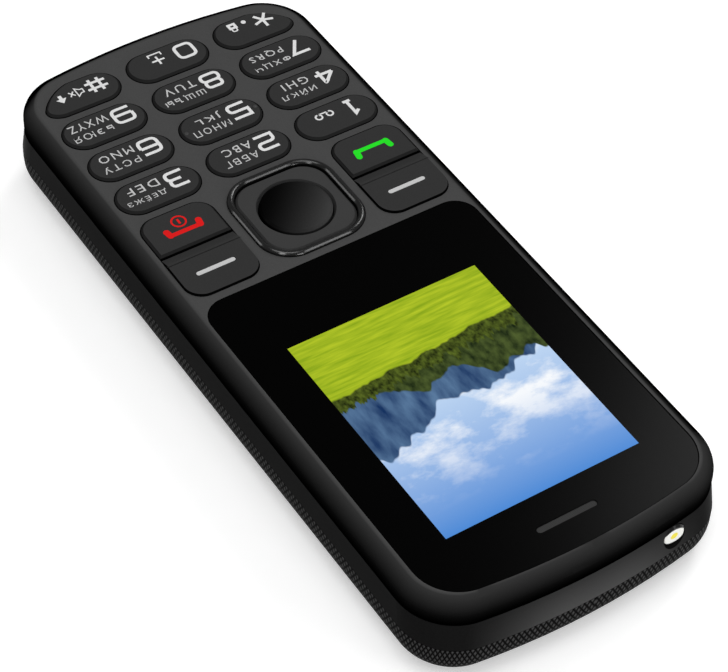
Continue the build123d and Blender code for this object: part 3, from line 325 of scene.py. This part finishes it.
# Lacquered ABS of the trim, glossy black, with a very slight orange peel and edges softened by the coat
def gloss_lacquer():
    coat_radius = 0.3 * MM
    material, tree, shader = new_material("gloss_black_lacquer", "#070707", 0.16, IOR=1.5,
                                          Specular_IOR_Level=0.7)
    soft_edge = add_node(tree, "Bevel", {"Radius": coat_radius}, samples=8).outputs[0]
    add_grain(tree, shader, 1.2, 0.002, "#080808", "#060606", soft_edge)
    return material


# Satin-painted ABS of the navigation ring: an even dark grey with a faint sheen
def satin_ring_abs():
    return grained_finish("satin_painted_abs", "#363636", "#383838", "#343434", 0.5, 0.15, 0.002, IOR=1.52,
                          Specular_IOR_Level=0.14)


# Polished ABS of the select key: painted shade runs from black to dark grey across the key
def select_abs():
    reach = 7.2
    shade_fade_power = 2.2
    material, tree, shader = new_material("polished_black_abs", "#141414", 0.35, IOR=1.54,
                                          Specular_IOR_Level=0.02)
    grey = add_grain(tree, shader, 0.3, 0.001, "#434343", "#3f3f3f")
    place = axes(tree, "Object")
    middle = middle_mm("select_key")
    # Painted shade across the key, black on one side and dark grey on the other
    across = add_node(tree, "Math", {0: place["Y"], 1: place["X"]}, operation="SUBTRACT").outputs[0]
    share = add_node(tree, "MapRange", {"Value": across, "From Min": (middle.y - middle.x - reach) * MM,
                                        "From Max": (middle.y - middle.x + reach) * MM}).outputs[0]
    share = add_node(tree, "Math", {0: share, 1: shade_fade_power}, operation="POWER").outputs[0]
    colour_with_painted_light = add_node(tree, "Mix", {0: share, 6: "#000000", 7: grey}, data_type="RGBA").outputs[2]
    tree.links.new(colour_with_painted_light, shader.inputs["Base Color"])
    return material


# Clear acrylic torch lens over an oval white reflector, with the round yellow lamp behind its middle
# and a dark rim. Each is an oval, given by how much its height counts and where it starts and ends
def torch_acrylic():
    lamp_oval = (1.0, 0.62, 0.45)
    rim_oval = (1.35, 1.5, 1.6)
    material, tree, shader = new_material("clear_acrylic_over_reflector", "#f2f2ee", 0.12, IOR=1.49,
                                          Specular_IOR_Level=0.1, Coat_Weight=0.1)
    place = add_node(tree, "TexCoord").outputs["Object"]
    centre = middle_mm("torch_lens") * MM
    offset = add_node(tree, "VectorMath", {0: place, 1: centre}, operation="SUBTRACT").outputs[0]
    shares = []
    for height, start, end in (lamp_oval, rim_oval):
        oval = add_node(tree, "VectorMath", {0: offset, 1: (1, 0, height)}, operation="MULTIPLY").outputs[0]
        distance = add_node(tree, "VectorMath", {0: oval}, operation="LENGTH").outputs["Value"]
        shares.append(add_node(tree, "MapRange", {"Value": distance, "From Min": start * MM,
                                                  "From Max": end * MM}).outputs[0])
    lamp, rim = shares
    colour = add_node(tree, "Mix", {0: lamp, 6: "#f4f4ef", 7: "#f2e23c"}, data_type="RGBA").outputs[2]
    colour = add_node(tree, "Mix", {0: rim, 6: colour, 7: "#202020"}, data_type="RGBA").outputs[2]
    tree.links.new(colour, shader.inputs["Base Color"])
    return material


# Woven acoustic cloth, black polyester with a thread every 0.18 mm: dull, with a fine check
def acoustic_cloth():
    thread_pitch, thread_depth = 0.18 * MM, 0.03 * MM
    material, tree, shader = new_material("woven_acoustic_polyester", "#3a3a3a", 0.8, IOR=1.5,
                                          Specular_IOR_Level=0.2)
    place = axes(tree, "Object")
    waves = []
    for run in (place["X"], place["Y"]):
        turn = add_node(tree, "Math", {0: run, 1: 2 * math.pi / thread_pitch}, operation="MULTIPLY")
        waves.append(add_node(tree, "Math", {0: turn.outputs[0]}, operation="SINE").outputs[0])
    weave = add_node(tree, "Math", {0: waves[0], 1: waves[1]}, operation="MAXIMUM").outputs[0]
    colour = add_node(tree, "Mix", {0: weave, 6: "#2e2e2e", 7: "#464646"}, data_type="RGBA").outputs[2]
    bump = add_node(tree, "Bump", {"Height": weave, "Distance": thread_depth, "Strength": 1.0})
    tree.links.new(bump.outputs["Normal"], shader.inputs["Normal"])
    tree.links.new(colour, shader.inputs["Base Color"])
    return material


# Silk-screened ink: matte, slightly uneven in its cover. The same finish, in black, draws painted shade along
# the crease of a soft key
def printed_ink(name, light, dark):
    return grained_finish(name, light, light, dark, 0.6, 0.12, 0.001, IOR=1.5, Specular_IOR_Level=0.2)


white_ink = printed_ink("white_screen_print", "#e6e6e6", "#dadada")
green_ink = printed_ink("green_screen_print", "#18e61a", "#14dc16")
grey_ink = printed_ink("grey_screen_print", "#cacaca", "#c0c0c0")
crease_shade_ink = printed_ink("painted_crease_shade", "#0a0a0a", "#080808")
red_ink = printed_ink("red_screen_print", "#e00202", "#d60000")
cloth = acoustic_cloth()

# The inner pieces show when the phone is lifted out of its cover

# Moulded silicone rubber: soft charcoal that hardly shines
silicone = grained_finish("moulded_silicone_rubber", "#2b2b2e", "#2e2e31", "#28282b", 0.65, 0.3, 0.003,
                          IOR=1.41)
# Cast polyester film: milky grey with a smooth sheen
film = grained_finish("polyester_film", "#cfd2cf", "#d6d9d6", "#c6c9c6", 0.3, 2.0, 0.002, IOR=1.64)
# Glass epoxy under solder mask: deep green, with the weave just felt below a lacquer shine
board = grained_finish("solder_masked_glass_epoxy", "#14482c", "#1a5836", "#103c24", 0.35, 0.8, 0.01,
                       IOR=1.52)
# Pressed steel, nickel plated: a warm pale metal
steel = grained_finish("nickel_plated_steel", "#b9b6ae", "#c4c1b9", "#aeaba3", 0.3, 0.4, 0.001, Metallic=1.0)
# Spring bronze, gold plated: a clear yellow metal
gold = grained_finish("gold_plated_spring_bronze", "#d8b25a", "#e2bf6a", "#cda54c", 0.28, 0.2, 0.001,
                      Metallic=1.0)
# Steel screws, black zinc plated: a dark metal with a grey glint
black_zinc = grained_finish("black_zinc_plated_steel", "#2a2a2c", "#323236", "#222226", 0.35, 0.15, 0.002,
                            Metallic=1.0)
# Shrunk PVC wrap of the battery: matte slate grey
wrap = grained_finish("matte_pvc_wrap", "#3c3f44", "#404348", "#383b40", 0.5, 0.5, 0.003, IOR=1.53)
# Closed-cell foam: dead black with fine pores
foam = grained_finish("closed_cell_foam", "#1d1d1d", "#242424", "#161616", 0.9, 0.12, 0.02, IOR=1.4)
# Moulded ABS of small inner parts: plain black with a low sheen
inner_abs = grained_finish("black_moulded_abs", "#1c1c1c", "#202020", "#181818", 0.5, 0.2, 0.002, IOR=1.54)
# Resin with phosphor over the lamp's chip: a solid egg yellow
lamp_resin = grained_finish("yellow_phosphor_resin", "#e8d24a", "#eeda58", "#e0c83c", 0.4, 0.2, 0.002,
                            IOR=1.5)
# Coated glass: nearly black, with a sharp reflection
camera_glass = grained_finish("coated_camera_glass", "#07070b", "#0a0a12", "#050508", 0.05, 3.0, 0.0005,
                              IOR=1.6)
# Rolled steel of the display's frame: a cool grey metal
panel = grained_finish("display_bezel_steel", "#8e9092", "#9a9c9e", "#828486", 0.35, 0.5, 0.001, Metallic=1.0)

# What each material dresses
key_caps = [name for name in nodes if name.startswith("key_")]
key_caps += ["soft_key_left", "soft_key_right", "call_key", "end_key"]
dress = {
    grained_abs(): ["front_housing"],
    satin_polycarbonate(): ["rear_housing"],
    knurled_polycarbonate(): ["back_cover"],
    printed_acrylic(): ["display_window"],
    key_cap_abs(): key_caps,
    gloss_lacquer(): ["nav_trim"],
    satin_ring_abs(): ["nav_ring"],
    select_abs(): ["select_key"],
    torch_acrylic(): ["torch_lens"],
    cloth: ["earpiece_mesh", "speaker_mesh"],
    silicone: ["keypad_membrane", "nav_rubber_pad"],
    film: ["dome_sheet"],
    board: ["circuit_board"],
    steel: ["shield_can", "sim_socket_1", "sim_socket_2", "microsd_socket", "usb_port", "vibration_motor",
            "microphone"],
    gold: ["battery_contacts"],
    black_zinc: ["housing_screws"],
    wrap: ["battery"],
    foam: ["display_gasket"],
    inner_abs: ["earpiece_speaker", "loudspeaker", "camera_module", "antenna", "audio_jack"],
    lamp_resin: ["torch_led"],
    camera_glass: ["camera_lens"],
    panel: ["lcd_module"],
}
for material, names in dress.items():
    for name in names:
        nodes[name].data.materials.clear()
        nodes[name].data.materials.append(material)


# Printed legends, each a thin film of ink on its key. A stroke that crosses another is lifted a little
ink_thickness = 0.02
ink_sink = 0.004
stroke_lift = 0.003
corner_steps = 5
corner_share = 0.48
least_stretch = 0.4


def round_path(points, radii, closed):
    """The points of a pen stroke, with each corner that has a radius replaced by a short curve."""
    path = []
    count = len(points)
    for index, (point, radius) in enumerate(zip(points, radii)):
        here = Vector(point)
        if not radius or not closed and index in (0, count - 1):
            path.append(here)
            continue
        before = Vector(points[index - 1]) - here
        after = Vector(points[(index + 1) % count]) - here
        cut = min(radius, corner_share * before.length, corner_share * after.length)
        start, end = here + before.normalized() * cut, here + after.normalized() * cut
        for step in range(corner_steps + 1):
            share = step / corner_steps
            path.append(start * (1 - share) ** 2 + here * 2 * share * (1 - share) + end * share ** 2)
    return path


def add_stroke(mesh, points, pen, radius=0.0, closed=False, lift=0.0):
    """A pen stroke of one width along points in millimetres. Its corners have one radius, or a list with
    one each."""
    path = round_path(points, radius if isinstance(radius, list) else [radius] * len(points), closed)
    count = len(path)
    pairs = []
    for index, point in enumerate(path):
        before = path[index - 1] if closed or index > 0 else point
        after = path[(index + 1) % count] if closed or index < count - 1 else point
        run_in, run_out = (point - before).normalized(), (after - point).normalized()
        along = (run_in + run_out).normalized()
        aside = Vector((-along.y, along.x))
        run = run_out if run_out.length else run_in
        stretch = max(least_stretch, abs(aside.dot(Vector((-run.y, run.x)))))
        reach = aside * (pen / 2 / stretch)
        pairs.append([mesh.verts.new((*(point + side * reach), lift)) for side in (1, -1)])
    for index in range(count if closed else count - 1):
        first, second = pairs[index], pairs[(index + 1) % count]
        mesh.faces.new((first[0], first[1], second[1], second[0]))


def add_patch(mesh, points, lift=0.0):
    """A filled patch with the given corners in millimetres."""
    mesh.faces.new([mesh.verts.new((x, y, lift)) for x, y in points])


def bar_points(start, end, width, count=8):
    """Points round a straight bar with round ends."""
    start, end = Vector(start), Vector(end)
    heading = math.atan2(end.y - start.y, end.x - start.x)
    points = []
    for centre, turn in ((start, heading + math.pi / 2), (end, heading - math.pi / 2)):
        for index in range(count + 1):
            angle = turn + math.pi * index / count
            points.append((centre.x + width / 2 * math.cos(angle), centre.y + width / 2 * math.sin(angle)))
    return points


def circle_points(x, y, radius, count=24):
    """Points round a circle."""
    turns = [2 * math.pi * index / count for index in range(count)]
    return [(x + radius * math.cos(turn), y + radius * math.sin(turn)) for turn in turns]


def add_lettering(mesh, text, left, right, low, high):
    """A line of small letters, stretched to its place on the key."""
    curve = bpy.data.curves.new("lettering", "FONT")
    curve.body = text
    curve.space_character = 1.25
    curve.resolution_u = 2
    letters = bpy.data.objects.new("lettering", curve)
    bpy.context.scene.collection.objects.link(letters)
    bpy.context.view_layer.update()
    flat = bpy.data.meshes.new_from_object(letters)
    xs = [vertex.co.x for vertex in flat.vertices]
    ys = [vertex.co.y for vertex in flat.vertices]
    for vertex in flat.vertices:
        vertex.co.x = left + (vertex.co.x - min(xs)) / (max(xs) - min(xs)) * (right - left)
        vertex.co.y = low + (vertex.co.y - min(ys)) / (max(ys) - min(ys)) * (high - low)
        vertex.co.z = 0
    mesh.from_mesh(flat)
    bpy.data.objects.remove(letters)
    bpy.data.curves.remove(curve)
    bpy.data.meshes.remove(flat)


# Strokes of the digits, signs and some letters in a unit cell, with True where a stroke closes on
# itself, and "sharp" on a corner that isn't rounded
star_turns = [math.radians(18 + 72 * arm) for arm in range(5)]
sign_strokes = {
    "1": [([(0.0, 0.80), (0.55, 1.0), (0.55, 0.0)], False), ([(0.1, 0.0), (1.0, 0.0)], False)],
    "2": [([(0, 1), (1, 1), (1, 0.52), (0, 0.52), (0, 0, "sharp"), (1, 0)], False)],
    "3": [([(0, 1), (0.93, 1), (0.93, 0.52), (0.25, 0.52)], False),
          ([(0.5, 0.52), (1, 0.52), (1, 0), (0, 0)], False)],
    "4": [([(0.72, 0), (0.72, 1), (0, 0.3)], False), ([(0, 0.3), (1, 0.3)], False)],
    "5": [([(1, 1), (0, 1, "sharp"), (0, 0.52, "sharp"), (1, 0.52), (1, 0), (0, 0)], False)],
    "6": [([(1, 1), (0, 1), (0, 0), (1, 0), (1, 0.55)], False), ([(1, 0.55), (0, 0.55)], False)],
    "7": [([(0, 1), (1, 1), (0.35, 0)], False)],
    "8": [([(0, 0), (1, 0), (1, 0.52), (0, 0.52)], True),
          ([(0.07, 0.52), (0.93, 0.52), (0.93, 1), (0.07, 1)], True)],
    "9": [([(0, 0), (1, 0), (1, 1), (0, 1), (0, 0.45)], False), ([(0, 0.45), (1, 0.45)], False)],
    "0": [([(0, 0), (1, 0), (1, 1), (0, 1)], True)],
    "#": [([(0.3, 0), (0.3, 1)], False), ([(0.72, 0), (0.72, 1)], False),
          ([(0, 0.28), (1, 0.28)], False), ([(0, 0.72), (1, 0.72)], False)],
    "*": [([(0.5, 0.45), (0.5 + 0.5 * math.cos(turn), 0.45 + 0.55 * math.sin(turn))], False)
          for turn in star_turns],
    "Ф": [([(0, 0.2), (1, 0.2), (1, 0.8), (0, 0.8)], True), ([(0.5, 0), (0.5, 1)], False)],
    "Ъ": [([(0, 1), (0.3, 1), (0.3, 0), (1, 0), (1, 0.5), (0.3, 0.5)], False)],
    "Ы": [([(0, 1), (0, 0), (0.6, 0), (0.6, 0.5), (0, 0.5)], False), ([(1, 1), (1, 0)], False)],
    "Ь": [([(0, 1), (0, 0), (1, 0), (1, 0.5), (0, 0.5)], False)],
    "Э": [([(0, 1), (1, 1), (1, 0), (0, 0)], False), ([(0.35, 0.5), (1, 0.5)], False)],
}
sharp_signs = "17#*ЪЫЬ"
digit_low, digit_high = -2.0, 1.1
digit_pen, sign_pen, letter_pen = 0.47, 0.42, 0.17
digit_round, four_round = 0.8, 0.25


def add_sign(mesh, sign, left, right, low=digit_low, high=digit_high, pen=digit_pen):
    """A digit, sign or letter of wide, square shape with round corners."""
    inset = pen / 2
    rounding = 0.0 if sign in sharp_signs else four_round if sign == "4" else digit_round
    for index, (points, closed) in enumerate(sign_strokes[sign]):
        placed = [(left + inset + x * (right - left - pen), low + inset + y * (high - low - pen))
                  for x, y, *_ in points]
        radii = [0.0 if "sharp" in point else rounding for point in points]
        add_stroke(mesh, placed, pen, radii, closed, index * stroke_lift)


def new_piece(name, mesh, material):
    """A piece of the scene with a finished mesh and one material."""
    data = bpy.data.meshes.new(name)
    mesh.to_mesh(data)
    mesh.free()
    data.materials.append(material)
    piece = bpy.data.objects.new(name, data)
    bpy.context.scene.collection.objects.link(piece)
    return piece


def lay_film(name, body, place, mesh, ink):
    """Turn flat marks into a film of ink on a key that has its middle and its top at a place. The marks
    face up before they grow, so that the film's other faces turn outward by themselves."""
    bmesh.ops.recalc_face_normals(mesh, faces=mesh.faces)
    for face in mesh.faces:
        if face.normal.z < 0:
            face.normal_flip()
    grown = bmesh.ops.extrude_face_region(mesh, geom=mesh.faces[:])
    for item in grown["geom"]:
        if isinstance(item, bmesh.types.BMVert):
            item.co.z += ink_thickness
    for vertex in mesh.verts:
        vertex.co = (vertex.co + Vector(place) - Vector((0, 0, ink_sink))) * MM
    legend = new_piece(name, mesh, ink)
    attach(legend, body)


def key_place(node, x=None, y=None):
    """Middle of a key in plan, at the height of its top."""
    middle = middle_mm(node)
    return (middle.x if x is None else x, middle.y if y is None else y, box_mm(node)[1].z)


# Digits with the two usual alphabets: the node, its digit, the digit's left and right, then the
# pieces of each line of letters, each with its left and right
letter_rows = {
    "key_2": ("2", -4.5, -1.5, ("ABC", -1.1, 3.2), ("АБВГ", -1.0, 4.0)),
    "key_3": ("3", -4.5, -1.5, ("DEF", -0.7, 3.9), ("ДЕЁЖЗ", -0.8, 4.9)),
    "key_4": ("4", -4.6, -1.5, ("GHI", -0.7, 3.3), ("ИЙКЛ", -0.8, 4.4)),
    "key_5": ("5", -4.6, -1.5, ("JKL", -0.6, 3.2), ("МНОП", -1.0, 4.5)),
    "key_6": ("6", -4.6, -1.5, ("MNO", -0.9, 4.1), ("РСТУ", -0.9, 4.5)),
    "key_7": ("7", -4.5, -1.5, ("PQRS", -0.9, 4.2), ("Ф", -1.0, 0.1), ("ХЦЧ", 0.5, 4.5)),
    "key_8": ("8", -4.6, -1.5, ("TUV", -0.8, 3.9), ("ШЩ", -1.2, 1.9), ("Ъ", 2.3, 3.35), ("Ы", 3.75, 4.8)),
    "key_9": ("9", -4.6, -1.5, ("WXYZ", -1.0, 4.7), ("Ь", -0.8, 0.05), ("Э", 0.6, 1.5), ("ЮЯ", 2.0, 4.9)),
}
latin_low, latin_high = -1.9, -0.5
other_low, other_high = 0.3, 1.5
drawn_low, drawn_high = 0.45, 1.45
for key, (digit, left, right, latin, *other) in letter_rows.items():
    mesh = bmesh.new()
    add_sign(mesh, digit, left, right)
    lay_film("legend_" + key, key, key_place(key), mesh, white_ink)
    mesh = bmesh.new()
    add_lettering(mesh, *latin, latin_low, latin_high)
    for letters, left, right in other:
        if letters in sign_strokes:
            add_sign(mesh, letters, left, right, drawn_low, drawn_high, letter_pen)
        else:
            add_lettering(mesh, letters, left, right, other_low, other_high)
    lay_film("second_legend_" + key, key, key_place(key), mesh, grey_ink)

# One, with the two reels of a message tape
thin_pen = 0.22
reel_xs, reel_y = (0.45, 2.15), -0.9
reel_radius, reel_pen = 0.46, 0.24
mesh = bmesh.new()
add_sign(mesh, "1", -3.6, -1.9)
for reel_x in reel_xs:
    add_stroke(mesh, circle_points(reel_x, reel_y, reel_radius), reel_pen, closed=True)
add_stroke(mesh, [(reel_x, reel_y - reel_radius) for reel_x in reel_xs], thin_pen)
lay_film("legend_key_1", "key_1", key_place("key_1"), mesh, white_ink)

# Nought, with a plus sign over the sign for a space
plus_x, plus_y = 1.15, -0.5
plus_across, plus_upward, plus_pen = 0.95, 0.85, 0.3
space_low, space_high = -1.95, -1.4
left, right = plus_x - plus_across, plus_x + plus_across
mesh = bmesh.new()
add_sign(mesh, "0", -4.5, -1.5)
add_stroke(mesh, [(left, plus_y), (right, plus_y)], plus_pen)
add_stroke(mesh, [(plus_x, plus_y - plus_upward), (plus_x, plus_y + plus_upward)], plus_pen, lift=stroke_lift)
add_stroke(mesh, [(left, space_high), (left, space_low), (right, space_low), (right, space_high)], thin_pen)
lay_film("legend_key_0", "key_0", key_place("key_0"), mesh, white_ink)

# Star, with a full stop and a padlock: its body, drawn with a pen that fills it, and its shackle
stop_place, stop_radius = (0.75, -1.5), 0.36
lock_body = [(2.15, -1.85), (3.05, -1.85), (3.05, -1.1), (2.15, -1.1)]
shackle = [(2.25, -0.9), (2.25, -0.35), (2.95, -0.35), (2.95, -0.9)]
shackle_pen, shackle_round = 0.2, 0.3
star_place = key_place("key_star", middle_mm("key_7").x, middle_mm("key_0").y)
mesh = bmesh.new()
add_sign(mesh, "*", -3.55, -0.15, pen=sign_pen)
add_patch(mesh, circle_points(*stop_place, stop_radius, 16))
add_stroke(mesh, lock_body, sign_pen, closed=True)
add_stroke(mesh, shackle, shackle_pen, shackle_round, lift=stroke_lift)
lay_film("legend_key_star", "key_star", star_place, mesh, white_ink)

# Hash, with a crossed-out loudspeaker and an arrow for capital letters
horn = [(-0.85, -0.7), (-0.45, -0.7), (0.15, -1.2), (0.15, 0.5), (-0.45, 0.0), (-0.85, 0.0)]
cross_left, cross_right, cross_low, cross_high = 0.5, 1.2, -0.8, 0.1
arrow = [(2.3, -0.9), (2.8, -0.9), (2.8, -0.2), (3.3, -0.2), (2.55, 0.7), (1.8, -0.2), (2.3, -0.2)]
horn_pen, cross_pen = 0.17, 0.19
hash_place = key_place("key_hash", middle_mm("key_9").x, middle_mm("key_0").y)
mesh = bmesh.new()
add_sign(mesh, "#", -4.6, -1.2, pen=sign_pen)
add_stroke(mesh, horn, horn_pen, closed=True)
add_stroke(mesh, [(cross_left, cross_low), (cross_right, cross_high)], cross_pen)
add_stroke(mesh, [(cross_left, cross_high), (cross_right, cross_low)], cross_pen, lift=stroke_lift)
add_patch(mesh, arrow)
lay_film("legend_key_hash", "key_hash", hash_place, mesh, white_ink)

# Soft keys: a dash each, and a black film of painted shade along the crease at the top of the slope towards
# the key below
nav_y = middle_mm("nav_trim").y
dash_rise, dash_reach, dash_width = 4.12, 2.5, 0.65
crease_rise, crease_reach, crease_pen = 1.75, 5.35, 0.14
for node in ("soft_key_left", "soft_key_right"):
    middle = middle_mm(node)
    dash_y = nav_y + dash_rise - middle.y
    mesh = bmesh.new()
    add_patch(mesh, bar_points((-dash_reach, dash_y), (dash_reach, dash_y), dash_width))
    lay_film("legend_" + node, node, key_place(node), mesh, grey_ink)

    # Painted shade: a thin black film where the crease lies in shadow
    crease_y = box_mm(node)[0].y + crease_rise - middle.y
    mesh = bmesh.new()
    add_stroke(mesh, [(-crease_reach, crease_y), (crease_reach, crease_y)], crease_pen)
    lay_film("painted_shade_crease_" + node, node, key_place(node), mesh, crease_shade_ink)

# Call key: a handset off its rest. End key: a handset on its rest, with the power sign
handset_width, ear_width, ear_spread = 0.68, 0.88, 0.15
call_drop, call_reach, call_ear = 4.55, 2.3, 1.0
end_drop, end_reach, end_ear = 3.5, 2.2, -0.85
power_drop, power_radius, power_pen = 1.85, 0.95, 0.25
power_reach, power_bar_pen = 0.45, 0.3


def add_handset(mesh, reach, height, ear):
    """A telephone handset: a bar with a thicker, round ear at each end, up or down by a height."""
    add_patch(mesh, bar_points((-reach, height), (reach, height), handset_width))
    for side in (-1, 1):
        tip = (side * (reach + ear_spread), height + ear)
        add_patch(mesh, bar_points((side * reach, height), tip, ear_width), side * stroke_lift)


mesh = bmesh.new()
call_place = key_place("call_key")
add_handset(mesh, call_reach, nav_y - call_drop - call_place[1], call_ear)
lay_film("legend_call_key", "call_key", call_place, mesh, green_ink)
mesh = bmesh.new()
end_place = key_place("end_key")
bar_y = nav_y - end_drop - end_place[1]
ring_y = bar_y - power_drop
add_handset(mesh, end_reach, bar_y, end_ear)
add_stroke(mesh, circle_points(0.0, ring_y, power_radius), power_pen, closed=True)
add_stroke(mesh, [(0.0, ring_y - power_reach), (0.0, ring_y + power_reach)], power_bar_pen)
lay_film("legend_end_key", "end_key", end_place, mesh, red_ink)

# Nubs at both ends of the middle key, low round domes that a fingertip finds: radius and height of each
# ring of a dome, height of its top, and its distance from the key's middle
nub_rings = ((0.34, -0.02), (0.33, 0.04), (0.28, 0.1), (0.17, 0.15))
nub_height = 0.17
nub_aside = 5.3
# Matte ABS, a little paler than the key cap, so that a nub shows
nub_abs = grained_finish("matte_abs_nub", "#3e3e3e", "#404040", "#3c3c3c", 0.45, 0.14, 0.001, IOR=1.54,
                         Specular_IOR_Level=0.1)
for side, aside in (("left", -nub_aside), ("right", nub_aside)):
    mesh = bmesh.new()
    rings = [[mesh.verts.new((*point, height)) for point in circle_points(0, 0, radius, 20)]
             for radius, height in nub_rings]
    top = mesh.verts.new((0, 0, nub_height))
    for lower, upper in zip(rings, rings[1:]):
        for index in range(len(lower)):
            mesh.faces.new((lower[index - 1], lower[index], upper[index], upper[index - 1]))
    for index in range(len(rings[-1])):
        mesh.faces.new((rings[-1][index - 1], rings[-1][index], top))
    mesh.faces.new(rings[0][::-1])
    for vertex in mesh.verts:
        vertex.co = (vertex.co + Vector(key_place("key_5", middle_mm("key_5").x + aside))) * MM
    for face in mesh.faces:
        face.smooth = True
    nub = new_piece("key_5_nub_" + side, mesh, nub_abs)
    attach(nub, "key_5")

# Moulded bar of the acoustic cloth, pushed up into the earpiece slot until it is nearly flush
cloth_reach, cloth_width, cloth_sink = 3.85, 0.87, 0.16
cloth_middle = middle_mm("earpiece_mesh")
cloth_place = (cloth_middle.x, cloth_middle.y, box_mm("display_window")[1].z - cloth_sink)
mesh = bmesh.new()
add_patch(mesh, bar_points((-cloth_reach, 0), (cloth_reach, 0), cloth_width))
lay_film("earpiece_cloth_bar", "phone", cloth_place, mesh, cloth)


# Studio: a pale floor, soft light from above and a little from each side. Sizes here are in metres
floor_reach = 2.0
floor_drop = 0.05 * MM  # keeps the floor clear of the cover's flat back
floor_glow = 0.34


# Uncoated white paper: matte and even. It glows only for the camera, in reflections and through glass,
# so that it renders as white there
def pale_paper():
    material, tree, shader = new_material("matte_white_paper", "#f4f4f4", 0.9, IOR=1.4,
                                          Specular_IOR_Level=0.0)
    add_grain(tree, shader, 3.0, 0.01, "#f5f5f5", "#f3f3f3")
    rays = add_node(tree, "LightPath").outputs
    seen = add_node(tree, "Math", {0: rays["Is Camera Ray"], 1: rays["Is Glossy Ray"]}, operation="ADD")
    seen = add_node(tree, "Math", {0: seen.outputs[0], 1: rays["Is Transmission Ray"]}, operation="ADD")
    glow = add_node(tree, "Math", {0: seen.outputs[0], 1: floor_glow}, operation="MULTIPLY").outputs[0]
    shader.inputs["Emission Color"].default_value = linear("#ffffff")
    tree.links.new(glow, shader.inputs["Emission Strength"])
    return material


def add_lamp(name, place, size, power):
    """A square soft lamp in metres and watts that faces the phone."""
    light = bpy.data.lights.new(name, "AREA")
    light.size = size
    light.energy = power
    lamp = bpy.data.objects.new(name, light)
    lamp.location = place
    lamp.rotation_euler = (Vector((0, 0, 0.01)) - Vector(place)).to_track_quat("-Z", "Y").to_euler()
    bpy.context.scene.collection.objects.link(lamp)


mesh = bmesh.new()
bmesh.ops.create_grid(mesh, x_segments=8, y_segments=8, size=floor_reach)
floor = new_piece("studio_floor", mesh, pale_paper())
floor.location.z = -floor_drop

add_lamp("overhead_softbox", (0.15, 0.1, 0.9), 0.7, 4.0)
add_lamp("end_softbox", (-0.4, 0.74, 0.54), 0.3, 1.0)
add_lamp("side_strip", (0.74, -0.54, 0.40), 0.25, 0.5)
add_lamp("corner_softbox", (0.54, 0.41, 0.60), 0.2, 0.7)
add_lamp("window_glow", (-0.58, -0.30, 0.66), 0.3, 2.0)
add_lamp("low_end_strip", (0.0, 0.88, 0.17), 0.25, 2.0)
world = bpy.data.worlds.new("studio")
world.use_nodes = True
world.node_tree.nodes["Background"].inputs["Color"].default_value = linear("#ffffff")
world.node_tree.nodes["Background"].inputs["Strength"].default_value = 0.22
bpy.context.scene.world = world
bpy.context.scene.view_settings.view_transform = "Standard"

# Camera: from above the earpiece end, on the user's right, held a little askew
camera_place = Vector((124.98, 186.33, 242.61)) * MM
camera_target = Vector((2.317, 20.272, 14.3)) * MM
camera_roll = math.radians(3.785)
view = bpy.data.cameras.new("photo_camera")
view.lens = 124.2
view.shift_x, view.shift_y = -0.08, 0.055
view.sensor_width = 36.0
camera = bpy.data.objects.new("photo_camera", view)
camera.location = camera_place
camera.rotation_mode = "QUATERNION"
aim = (camera_target - camera_place).to_track_quat("-Z", "Y")
camera.rotation_quaternion = aim @ Quaternion((0, 0, 1), camera_roll)
bpy.context.scene.collection.objects.link(camera)
bpy.context.scene.camera = camera
